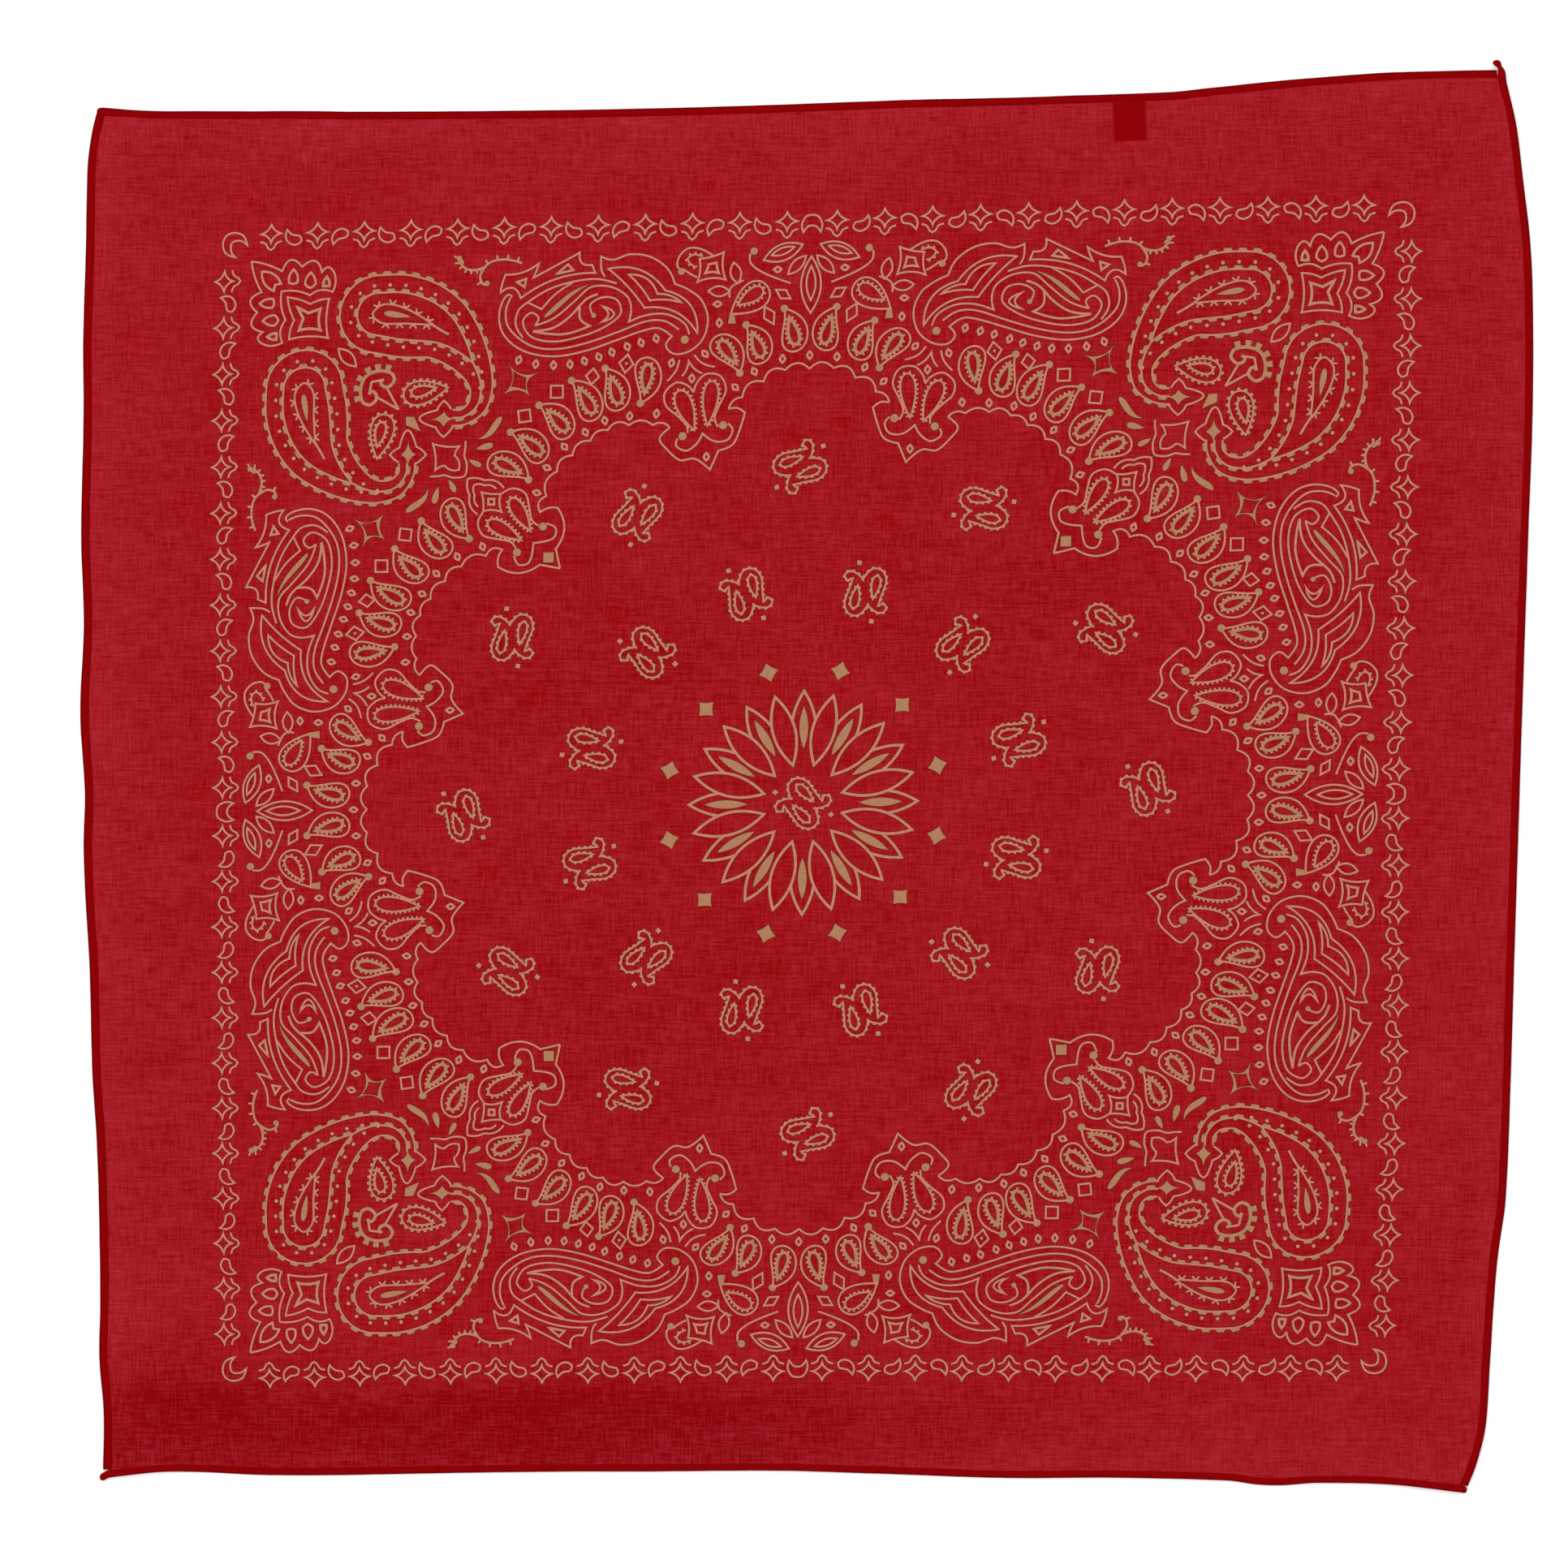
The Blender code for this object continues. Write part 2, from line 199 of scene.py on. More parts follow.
def read_bow(rows, shares):
    """How far out the edge stands at each share, on smooth cubics through the table's rows."""
    at, out = np.array(rows).T
    low, high = np.maximum(np.arange(len(at)) - 1, 0), np.minimum(np.arange(len(at)) + 1, len(at) - 1)
    slopes = (out[high] - out[low]) / (at[high] - at[low])
    i = np.clip(np.searchsorted(at, shares) - 1, 0, len(at) - 2)
    run, rise = at[i + 1] - at[i], out[i + 1] - out[i]
    t = (shares - at[i]) / run
    return (out[i] + run * slopes[i] * t + (3 * rise - run * (2 * slopes[i] + slopes[i + 1])) * t ** 2
            + (run * (slopes[i] + slopes[i + 1]) - 2 * rise) * t ** 3)


def edge_point(side, shares):
    """Points of the panel's edge on this side."""
    first, last = np.array(CORNERS[side.first]), np.array(CORNERS[side.last])
    run = last - first
    outwards = np.array((-run[1], run[0])) / np.hypot(*run)
    shares = np.asarray(shares, float)
    return first + shares[:, None] * run + read_bow(side.bow, shares)[:, None] * outwards


def edge_frame(side, shares, step=0.002):
    """The panel's edge, its unit ways along and its unit ways outwards."""
    shares = np.asarray(shares, float)
    run = edge_point(side, np.minimum(shares + step, 1)) - edge_point(side, np.maximum(shares - step, 0))
    way = run / np.linalg.norm(run, axis=1)[:, None]
    return edge_point(side, shares), way, np.stack((-way[:, 1], way[:, 0]), axis=1)


def label_frame():
    """Middle of the label's top edge, the way along that edge and the way outwards."""
    return [v[0] for v in edge_frame(SIDES["top"], [LABEL_MIDDLE_SHARE])]


def smooth_step(t):
    """An even rise from 0 to 1, level at both ends."""
    t = np.clip(t, 0, 1)
    return t * t * (3 - 2 * t)


def lift(points):
    """Height of the cloth's underside over the table, for rows of x and y."""
    height = np.zeros(len(points))
    for ridge in RIDGES:
        start, run = np.array((ridge.x0, ridge.y0)), np.array((ridge.x1 - ridge.x0, ridge.y1 - ridge.y0))
        along = np.clip((points - start) @ run / (run @ run), 0, 1)
        away = np.linalg.norm(points - start - along[:, None] * run, axis=1) / ridge.half_width
        crown = ridge.lift * (1 - RIDGE_FALL * (2 * along - 1) ** 2)
        height += np.where(away < 1, crown * (0.5 + 0.5 * np.cos(np.pi * away)), 0)
    top, _, outwards = label_frame()
    away = np.abs(points - top + outwards * LABEL_LENGTH / 2).max(axis=1) - LABEL_RISE_FLAT
    height += (LABEL_WALL + SEAM_GAP) * smooth_step(1 - away / LABEL_RISE_EDGE)
    return np.where(height > FLAT_BELOW, height, 0)


def panel_points(across, down):
    """Points of the panel from shares of its width and depth, blended from its four edges."""
    top, bottom = edge_point(SIDES["top"], across), edge_point(SIDES["bottom"], 1 - across)
    left, right = edge_point(SIDES["left"], 1 - down), edge_point(SIDES["right"], down)
    corners = [np.array(corner) for corner in CORNERS.values()]
    u, v = across[:, None], down[:, None]
    from_corners = ((corners[0] * (1 - u) + corners[1] * u) * (1 - v)
                    + (corners[3] * (1 - u) + corners[2] * u) * v)
    return top * (1 - v) + bottom * v + left * (1 - u) + right * u - from_corners


# Shallow slack in the face of the cloth: middle, half-length, half-width, turn in degrees and height.
Ripple = namedtuple("Ripple", "x y length width turn height")
# How fast a ripple dies away.
RIPPLE_FALL = 2
RIPPLES = [Ripple(*row) for row in (
    (-60, 118, 120, 13, 12, 0.10), (95, 142, 90, 11, -8, 0.09), (-170, -40, 90, 12, 78, 0.10),
    (30, 20, 130, 14, -18, 0.12), (150, -88, 96, 12, 64, 0.10), (-96, -150, 110, 13, -6, 0.12),
    (205, 60, 100, 12, 86, 0.10), (-230, 120, 92, 12, 92, 0.10), (-20, 196, 150, 10, 3, 0.08),
    (110, -190, 120, 12, -3, 0.11), (-205, -178, 84, 12, 30, 0.10), (232, -140, 80, 11, 96, 0.09),
)]


def slack(points):
    """Small rises in the face of the cloth over its lift."""
    height = np.zeros(len(points))
    for r in RIPPLES:
        turn = math.radians(r.turn)
        way = np.array((math.cos(turn), math.sin(turn)))
        along = (points - (r.x, r.y)) @ way / r.length
        aside = (points - (r.x, r.y)) @ np.array((-way[1], way[0])) / r.width
        height += r.height * np.exp(-along ** 2 * RIPPLE_FALL - aside ** 2 * RIPPLE_FALL)
    return height


def face_height(points):
    """Height of the printed face over the table."""
    wall = bpy.context.scene.bandana_cloth.wall / MM
    return lift(points) + wall + slack(points)


# ---- Mesh and node tools ----------------------------------------------------------------------------------
def make_mesh(name, points, faces, smooth=True, edges=(), **attributes):
    """An object in metres from points in millimetres, with named numbers on its points."""
    mesh = bpy.data.meshes.new(name)
    mesh.from_pydata((np.asarray(points, float) * MM).tolist(), edges, faces)
    mesh.update()
    if smooth:
        mesh.shade_smooth()
    for key, values in attributes.items():
        mesh.attributes.new(key, "FLOAT", "POINT").data.foreach_set("value", np.asarray(values, np.float32))
    piece = bpy.data.objects.new(name, mesh)
    bpy.context.scene.collection.objects.link(piece)
    return piece


def grid_faces(rows, columns, start=0, flip=False):
    """Quads of a grid of points, row by row."""
    i, j = np.meshgrid(np.arange(rows - 1), np.arange(columns - 1), indexing="ij")
    a = (start + i * columns + j).ravel()
    quads = np.stack((a, a + columns, a + columns + 1, a + 1), axis=1)
    return (quads[:, ::-1] if flip else quads).tolist()


def plate_faces(rows, columns):
    """Faces of a plate made of two grids of points, the upper one first, and of the strip round its edge."""
    size = rows * columns
    faces = grid_faces(rows, columns) + grid_faces(rows, columns, start=size, flip=True)
    edge = (list(range(columns)) + [i * columns + columns - 1 for i in range(1, rows)]
            + [(rows - 1) * columns + j for j in range(columns - 2, -1, -1)]
            + [i * columns for i in range(rows - 2, 0, -1)])
    return faces + [(a, b, b + size, a + size) for a, b in zip(edge, edge[1:] + edge[:1])]


def roll_faces(stations, count):
    """Quads round a roll of rings, with its two flat ends."""
    faces = []
    for s in range(stations - 1):
        for k in range(count):
            n = (k + 1) % count
            near, far = s * count, (s + 1) * count
            faces.append((near + k, far + k, far + n, near + n))
    faces.append(tuple(range(count)))
    faces.append(tuple(reversed(range((stations - 1) * count, stations * count))))
    return faces


def add(tree, kind, wires=None, **settings):
    """Add a node with its settings; wires gives each input a value or another node's output."""
    node = tree.nodes.new(kind)
    for key, value in settings.items():
        setattr(node, key, value)
    for key, value in (wires or {}).items():
        if isinstance(value, bpy.types.NodeSocket):
            tree.links.new(value, node.inputs[key])
        else:
            node.inputs[key].default_value = value
    return node


def finish_piece(piece, node=None):
    """Put a finished piece on the body and the node that it stands for."""
    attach(piece, BODY)
    if node:
        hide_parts(node)
    return piece


def new_material(name):
    """A material, its node tree and the place on the piece that its pattern follows."""
    material = bpy.data.materials.new(name)
    material.use_nodes = True
    return material, material.node_tree, add(material.node_tree, "ShaderNodeTexCoord").outputs["Object"]


def finish_material(material, tone, surface, relief=None):
    """Give a material its colour, its roughness and gloss, and the relief of its threads."""
    tree = material.node_tree
    shader = tree.nodes["Principled BSDF"]
    tree.links.new(tone, shader.inputs["Base Color"])
    if relief:
        bump = add(tree, "ShaderNodeBump", {"Height": relief, "Strength": surface.strength,
                                            "Distance": surface.depth})
        tree.links.new(bump.outputs["Normal"], shader.inputs["Normal"])
    shader.inputs["Roughness"].default_value = surface.roughness
    shader.inputs["Specular IOR Level"].default_value = surface.gloss
    return material


def stretched_noise(tree, place, sizes, detail=2.0, rough=0.5):
    """Noise whose grains are as long as `sizes` says, in metres along x, y and z."""
    scaled = add(tree, "ShaderNodeMapping", {"Vector": place, "Scale": [1 / s for s in sizes]})
    return add(tree, "ShaderNodeTexNoise", {"Vector": scaled.outputs["Vector"], "Scale": 1.0,
                                            "Detail": detail, "Roughness": rough}).outputs["Fac"]


def between(tree, value, low, high, to_low=0.0, to_high=1.0):
    """Map a value from one range to another, held at both ends."""
    wires = {"Value": value, "From Min": low, "From Max": high, "To Min": to_low, "To Max": to_high}
    return add(tree, "ShaderNodeMapRange", wires).outputs["Result"]


def blended(tree, share, first, second):
    """One colour turning into another by a share from 0 to 1."""
    mix = add(tree, "ShaderNodeMix", data_type="RGBA")
    for key, value in ((0, share), (6, first), (7, second)):
        if isinstance(value, bpy.types.NodeSocket):
            tree.links.new(value, mix.inputs[key])
        else:
            mix.inputs[key].default_value = (*value, 1.0) if key else value
    return mix.outputs[2]


# ---- Finishes ---------------------------------------------------------------------------------------------
# Strength and depth in metres of the threads' relief, roughness and gloss; 0.5 is the shader's own gloss.
Surface = namedtuple("Surface", "strength depth roughness gloss")
WOVEN_COTTON = Surface(0.3, 0.0003, 0.92, 0.02)
PRINTED_COTTON = Surface(0.25, 0.0002, 0.92, 0.02)
ROLLED_COTTON = Surface(0.5, 0.0004, 0.9, 0.02)
SEWING_THREAD = Surface(0.4, 0.0002, 0.75, 0.02)
SATIN_RIBBON = Surface(0.3, 0.0002, 0.55, 0.5)
TABLE_TOP = Surface(0.0, 0.0, 0.95, 0.5)
# Second colours that mottle a finish.
STAINED_THREAD, SHADED_ROLL, SHADED_PLY, SHADED_RIB, TABLE_SPECKLE = (
    linear(code) for code in ("#8A3A30", "#760002", "#780003", "#6C0003", "#FCFCFC"))
# Length in metres of the longest streaks in the yarn.
LONG_STREAK = 0.055
# Clouds, flecks and streaks in the yarn: share, length in metres along x and along y, and detail.
Grain = namedtuple("Grain", "share along_x along_y detail")
# How far inside and outside its outline the label's shade fades.
LABEL_FADE_IN, LABEL_FADE_OUT = 0.6, 0.5
# Where a pattern's value turns from a finish's one colour to its other, and how strong the stain is.
WEAVE_TONE, INK_TONE, STAIN_TONE, RIM_TONE = (1.36, 2.21), (0.7, 1.9), (0.85, 1.35), (0.0, 0.22)
ROLL_TONE, OUTER_SHADE_TONE, PLY_TONE, RIB_TONE = (0.3, 0.75), (0.62, 1.0), (0.35, 0.65), (0.3, 0.7)
STAIN_SHARE = 0.35
# Sizes of the finer grains in metres along x, y and z.
WEFT_STREAK, WARP_STREAK, RIB_GRAIN = (0.0030, 0.0006, 1), (0.0006, 0.0030, 1), (0.010, 0.0004, 1)
ROLL_GRAIN, PLY_GRAIN = (0.0016, 0.0016, 0.0016), (0.0005, 0.0005, 0.0005)


def dyed_plain_weave_cotton():
    """Thin plain-weave cotton, piece-dyed red: slubby threads both ways, matte, faintly see-through."""
    cloth = bpy.context.scene.bandana_cloth
    material, tree, place = new_material("dyed_plain_weave_cotton")
    # Weft and warp yarns vary in thickness, which shows as streaks both ways, long and short, over a
    # faintly cloudy ground.
    thread, slub = cloth.thread, cloth.slub
    grains = [
        Grain(0.3, 0.045, 0.032, 3.0), Grain(0.3, 0.010, 0.007, 4.0),
        Grain(1.0, slub, thread, 4.0), Grain(1.0, thread, slub, 4.0),
        Grain(0.35, LONG_STREAK, thread * 2, 3.0), Grain(0.15, thread * 2, LONG_STREAK, 3.0),
    ]
    threads = 0.0
    for grain in grains:
        streaks = stretched_noise(tree, place, (grain.along_x, grain.along_y, 1), grain.detail, 0.65)
        threads = add(tree, "ShaderNodeMath", {0: streaks, 1: grain.share, 2: threads},
                      operation="MULTIPLY_ADD").outputs[0]
    # Cloth that lies flush shows more of the table through its gaps; painted shade, where the cloth stands
    # off the table and in darker patches, makes it show less.
    flush = add(tree, "ShaderNodeAttribute", attribute_name="flush").outputs["Fac"]
    light = add(tree, "ShaderNodeMath", {0: threads, 1: flush}, operation="ADD").outputs[0]
    shade = add(tree, "ShaderNodeAttribute", attribute_name="shade").outputs["Fac"]
    # Painted shade: the red turns to the deep red where the shade patches lie.
    dye_and_shade = blended(tree, shade, cloth.red, cloth.deep)
    tone = blended(tree, between(tree, light, *WEAVE_TONE), dye_and_shade, cloth.pale)
    # The label behind darkens the cloth over it, with an edge as soft as the cloth is thick.
    top, way, outwards = label_frame()
    middle = (top - outwards * LABEL_LENGTH / 2) * MM
    turned = add(tree, "ShaderNodeMapping", {"Vector": place, "Location": (*middle, 0.0),
                                             "Rotation": (0, 0, math.atan2(way[1], way[0]))},
                 vector_type="TEXTURE").outputs["Vector"]
    parts = add(tree, "ShaderNodeSeparateXYZ", {"Vector": turned})
    inside = []
    for axis, size in (("X", LABEL_WIDTH), ("Y", LABEL_LENGTH)):
        away = add(tree, "ShaderNodeMath", {0: parts.outputs[axis]}, operation="ABSOLUTE").outputs[0]
        inside.append(between(tree, away, (size / 2 - LABEL_FADE_IN) * MM,
                              (size / 2 + LABEL_FADE_OUT) * MM, 1.0, 0.0))
    over = add(tree, "ShaderNodeMath", {0: inside[0], 1: inside[1]}, operation="MULTIPLY").outputs[0]
    tone = blended(tree, over, tone, cloth.label_shade)
    return finish_material(material, tone, WOVEN_COTTON, threads)


def discharge_printed_cotton():
    """Discharge print: paste takes the red out along the lines, leaving tan cotton with a dark bled rim."""
    ink = bpy.context.scene.bandana_ink
    material, tree, place = new_material("discharge_printed_cotton")
    # Threads that took less paste stay redder, in short streaks both ways.
    weft = stretched_noise(tree, place, WEFT_STREAK, 2.0, 0.6)
    warp = stretched_noise(tree, place, WARP_STREAK, 2.0, 0.6)
    threads = add(tree, "ShaderNodeMath", {0: weft, 1: warp}, operation="ADD").outputs[0]
    full = add(tree, "ShaderNodeAttribute", attribute_name="full").outputs["Fac"]
    taken = add(tree, "ShaderNodeMath", {0: threads, 1: full}, operation="ADD").outputs[0]
    tone = blended(tree, between(tree, taken, *INK_TONE), ink.pink, ink.tan)
    tone = blended(tree, between(tree, threads, *STAIN_TONE, 0.0, STAIN_SHARE), tone, STAINED_THREAD)
    rim = add(tree, "ShaderNodeAttribute", attribute_name="rim").outputs["Fac"]
    tone = blended(tree, between(tree, rim, *RIM_TONE), tone, ink.rim)
    return finish_material(material, tone, PRINTED_COTTON, threads)


def rolled_hem_cotton():
    """The same cotton rolled three deep, so no light comes through and its red is darker and even, with
    painted shade along its outer side.
    """
    hem = bpy.context.scene.bandana_hem
    material, tree, place = new_material("rolled_hem_cotton")
    grain = stretched_noise(tree, place, ROLL_GRAIN, 3.0, 0.6)
    outer = add(tree, "ShaderNodeAttribute", attribute_name="outer").outputs["Fac"]
    tone = blended(tree, between(tree, grain, *ROLL_TONE), SHADED_ROLL, hem.red)
    # Painted shade: the roll darkens to its outer edge colour towards its outer side.
    tone = blended(tree, between(tree, outer, *OUTER_SHADE_TONE), tone, hem.edge)
    return finish_material(material, tone, ROLLED_COTTON, grain)


def spun_cotton_thread():
    """Spun sewing thread: two plies twisted, matte, as dark as the hem."""
    hem = bpy.context.scene.bandana_hem
    material, tree, place = new_material("spun_cotton_thread")
    plies = stretched_noise(tree, place, PLY_GRAIN, 1.0)
    tone = blended(tree, between(tree, plies, *PLY_TONE), SHADED_PLY, hem.thread_red)
    return finish_material(material, tone, SEWING_THREAD, plies)


def woven_label_ribbon():
    """Satin-woven polyester ribbon, dyed dark red and left blank: finer and smoother than the cotton."""
    cloth = bpy.context.scene.bandana_cloth
    material, tree, place = new_material("woven_label_ribbon")
    rib = stretched_noise(tree, place, RIB_GRAIN)
    tone = blended(tree, between(tree, rib, *RIB_TONE), SHADED_RIB, cloth.label_shade)
    return finish_material(material, tone, SATIN_RIBBON, rib)


# ---- The cloth --------------------------------------------------------------------------------------------
# Painted shade, where the cloth stands a little off the table and looks darker: middle, half-sizes and
# amount.
Patch = namedtuple("Patch", "x y half_x half_y amount")
PAINTED_SHADE = [
    Patch(-150, -266, 130, 22, 0.9), Patch(-20, -262, 120, 18, 0.5), Patch(-262, -262, 40, 24, 0.7),
    Patch(-75, -95, 90, 40, 0.2), Patch(-96, 47, 60, 40, 0.2), Patch(75, 75, 60, 30, 0.15),
]
# The margins lie flush with the table, most of all beside the hems: width and amount.
MARGIN, MARGIN_FLUSH = 60.0, 0.06
BESIDE_HEM, BESIDE_HEM_FLUSH = 16.0, 0.06
# How much less flush the cloth is in a full painted shade, and the angle in degrees from which an edge is
# sharp.
PAINTED_SHADE_FLUSH = 0.18
SHARP_EDGE = 50
# A patch's strength at its middle, before it is held to 1, and how fast it falls outwards.
PATCH_CORE, PATCH_FALL = 1.35, 0.85


def patches(rows, points):
    """Soft-edged patches summed at each point, held to 1."""
    total = np.zeros(len(points))
    for p in rows:
        away = np.hypot((points[:, 0] - p.x) / p.half_x, (points[:, 1] - p.y) / p.half_y)
        total += p.amount * smooth_step(PATCH_CORE - away * PATCH_FALL)
    return np.clip(total, 0, 1)


class BANDANA_OT_cloth(bpy.types.Operator):
    """Lay the dyed cotton square over its lift"""
    bl_idname = "bandana.cloth"
    bl_label = "Cloth"

    def execute(self, context):
        settings = context.scene.bandana_cloth
        n = settings.cells + 1
        down, across = (v.ravel() for v in np.meshgrid(np.linspace(0, 1, n), np.linspace(0, 1, n),
                                                       indexing="ij"))
        spots = panel_points(across, down)
        # The outermost row is tucked into the rolled hems.
        sheet = spots.reshape(n, n, 2)
        for outer, inner in ((sheet[0], sheet[1]), (sheet[-1], sheet[-2]), (sheet[:, 0], sheet[:, 1]),
                             (sheet[:, -1], sheet[:, -2])):
            way = outer - inner
            outer += way / np.linalg.norm(way, axis=1)[:, None] * HEM_TUCK
        under = np.column_stack((spots, lift(spots)))
        face = np.column_stack((spots, face_height(spots)))
        both = np.vstack((face, under))
        # Painted shade in patches, which deepens the red and makes the cloth less flush.
        shade = patches(PAINTED_SHADE, both[:, :2])
        from_edge = np.minimum.reduce((across, 1 - across, down, 1 - down)) * CUT / MM
        flush = (MARGIN_FLUSH * smooth_step(1 - from_edge / MARGIN)
                 + BESIDE_HEM_FLUSH * smooth_step(1 - from_edge / BESIDE_HEM))
        piece = make_mesh("cloth", both, plate_faces(n, n), shade=shade,
                          flush=np.tile(flush, 2) - PAINTED_SHADE_FLUSH * shade)
        piece.data.materials.append(dyed_plain_weave_cotton())
        piece.data.set_sharp_from_angle(angle=math.radians(SHARP_EDGE))
        finish_piece(piece, "cloth_panel")
        return {"FINISHED"}


# ---- The hems ---------------------------------------------------------------------------------------------
HEM_STATIONS = 220
ROLL_POINTS = 14
# How square the roll is across and up; 1 is round.
ROLL_ACROSS, ROLL_UP = 0.72, 0.78
# The roll tightens and slackens in two waves: share, radians a station for each and the slow one's start.
SWELL, QUICK_WAVE, SLOW_WAVE, SLOW_START = 0.015, 0.9, 0.37, 1.3
SWELL_IN_WIDTH = 0.6
# The stitches' place: share of the hem's width inwards from its middle, and share of its height.
SEAM_INWARDS, SEAM_HEIGHT = 0.22, 0.985


def hem_stations(side):
    """Share, heading and end section of each station along a hem."""
    ends = [(0.0, -1, end) for end in reversed(side.first_end)]
    plain = [(i / HEM_STATIONS, 0, PLAIN_ROLL) for i in range(1, HEM_STATIONS)]
    return ends + plain + [(1.0, 1, end) for end in side.last_end]


def roll_ring(width, height, puff):
    """(outwards, up) round a soft roll that is flat underneath, from its inner foot."""
    ring = []
    for k in range(ROLL_POINTS):
        turn = 2 * math.pi * (k + 0.5) / ROLL_POINTS
        out = 0.5 - 0.5 * math.copysign(abs(math.cos(turn)) ** ROLL_ACROSS, math.cos(turn))
        up = 0.5 + 0.5 * math.copysign(abs(math.sin(turn)) ** ROLL_UP, math.sin(turn))
        ring.append((out * width, up * height * (1 + puff * (up - 0.5))))
    return ring


def hem_points(side):
    """Points of a rolled hem, its share outwards at each point, and the line of its stitches."""
    points, outer, seam = [], [], []
    for index, (share, heading, end) in enumerate(hem_stations(side)):
        spot, way, outwards = (v[0] for v in edge_frame(side, [share]))
        swell = SWELL * math.sin(index * QUICK_WAVE) + SWELL * math.sin(index * SLOW_WAVE + SLOW_START)
        middle = spot + way * (heading * end.past) + outwards * (SEAM_GAP + side.hem_width / 2 + end.aside)
        width, height = side.hem_width * end.size * (1 + swell * SWELL_IN_WIDTH), HEM_HEIGHT * end.size
        foot = lift(middle[None])[0]
        for out, up in roll_ring(width, height, swell):
            askew = out / width - 0.5
            # The roll's inner foot runs under its own stitches, over the edge of the cloth.
            under = HEM_OVERLAP * max(0.0, -2 * askew)
            corner = middle + outwards * (askew * width - under) + way * (heading * end.slant * askew)
            points.append((corner[0], corner[1], foot + up))
            outer.append(askew + 0.5)
        if not heading:
            row = middle - outwards * (side.hem_width * SEAM_INWARDS)
            seam.append((row[0], row[1], foot + height * SEAM_HEIGHT))
    return points, outer, seam


# A stitch's sections: place along it, size and rise, all against its length and thickness.
StitchSection = namedtuple("StitchSection", "along size rise")
STITCH_TIP, STITCH_SHOULDER, STITCH_CROWN = (0.25, -0.35), (0.85, 0.0), (1.0, 0.12)
STITCH_SECTIONS = [
    StitchSection(-0.5, *STITCH_TIP), StitchSection(-0.3, *STITCH_SHOULDER),
    StitchSection(0.0, *STITCH_CROWN),
    StitchSection(0.3, *STITCH_SHOULDER), StitchSection(0.5, *STITCH_TIP)]
STITCH_SIDES = 6


def stitch_shape():
    """One stitch, a millimetre long and as thick: a low six-sided bead with pinched ends."""
    points = []
    for section in STITCH_SECTIONS:
        for k in range(STITCH_SIDES):
            turn = 2 * math.pi * k / STITCH_SIDES
            points.append((section.along, 0.5 * section.size * math.sin(turn),
                           section.rise + 0.5 * section.size * math.cos(turn)))
    return make_mesh("stitch_shape", points, roll_faces(len(STITCH_SECTIONS), STITCH_SIDES))


def stitch_tree():
    """Geometry Nodes: stitches at an even pitch along a line, each as long and as thick as asked."""
    tree = bpy.data.node_groups.new("stitches_along_hem", "GeometryNodeTree")
    face = tree.interface
    face.new_socket("Line", in_out="INPUT", socket_type="NodeSocketGeometry")
    for name in ("Pitch", "Length", "Thickness"):
        face.new_socket(name, in_out="INPUT", socket_type="NodeSocketFloat")
    face.new_socket("Stitch", in_out="INPUT", socket_type="NodeSocketObject")
    face.new_socket("Thread", in_out="INPUT", socket_type="NodeSocketMaterial")
    face.new_socket("Stitches", in_out="OUTPUT", socket_type="NodeSocketGeometry")
    given = add(tree, "NodeGroupInput").outputs
    line = add(tree, "GeometryNodeMeshToCurve", {"Mesh": given["Line"]})
    spots = add(tree, "GeometryNodeCurveToPoints", {"Curve": line.outputs["Curve"], "Length": given["Pitch"]},
                mode="LENGTH")
    facing = add(tree, "FunctionNodeAlignRotationToVector", {"Vector": spots.outputs["Tangent"]}, axis="X")
    size = add(tree, "ShaderNodeCombineXYZ", {"X": given["Length"], "Y": given["Thickness"],
                                              "Z": given["Thickness"]})
    bead = add(tree, "GeometryNodeObjectInfo", {"Object": given["Stitch"]})
    placed = add(tree, "GeometryNodeInstanceOnPoints",
                 {"Points": spots.outputs["Points"], "Instance": bead.outputs["Geometry"],
                  "Rotation": facing.outputs["Rotation"], "Scale": size.outputs["Vector"]})
    real = add(tree, "GeometryNodeRealizeInstances", {"Geometry": placed.outputs["Instances"]})
    dyed = add(tree, "GeometryNodeSetMaterial", {"Geometry": real.outputs["Geometry"],
                                                 "Material": given["Thread"]})
    add(tree, "NodeGroupOutput", {"Stitches": dyed.outputs["Geometry"]})
    return tree


def run_tree(piece, tree, **values):
    """Give the piece's mesh to a tree, set the tree's named inputs, and keep the result as a plain mesh."""
    modifier = piece.modifiers.new(tree.name, "NODES")
    modifier.node_group = tree
    for item in tree.interface.items_tree:
        if item.in_out == "INPUT" and item.name in values:
            modifier[item.identifier] = values[item.name]
    context = bpy.context
    context.view_layer.update()
    made = bpy.data.meshes.new_from_object(piece.evaluated_get(context.evaluated_depsgraph_get()))
    piece.modifiers.remove(modifier)
    piece.data = made
    made.shade_smooth()
    return piece


class BANDANA_OT_hems(bpy.types.Operator):
    """Roll the four hems and sew them down"""
    bl_idname = "bandana.hems"
    bl_label = "Hems"

    def execute(self, context):
        settings = context.scene.bandana_hem
        cotton, thread = rolled_hem_cotton(), spun_cotton_thread()
        shape = stitch_shape()
        tree = stitch_tree()
        for side in SIDES.values():
            points, outer, seam = hem_points(side)
            hem = make_mesh(side.node.replace("hem_", "rolled_hem_"), points,
                            roll_faces(len(points) // ROLL_POINTS, ROLL_POINTS), outer=outer)
            hem.data.materials.append(cotton)
            finish_piece(hem, side.node)
            stitches = make_mesh("stitches_" + side.node.removeprefix("hem_"), seam, [], smooth=False,
                                 edges=[(i, i + 1) for i in range(len(seam) - 1)])
            run_tree(stitches, tree, Pitch=settings.pitch, Length=settings.stitch / MM,
                     Thickness=settings.thread / MM, Stitch=shape, Thread=thread)
            finish_piece(stitches)
        bpy.data.objects.remove(shape)
        return {"FINISHED"}


# The label's cells across and down, and how much thinner each side of its edge is.
LABEL_COLUMNS, LABEL_ROWS = 12, 14
LABEL_FOLD = 0.15


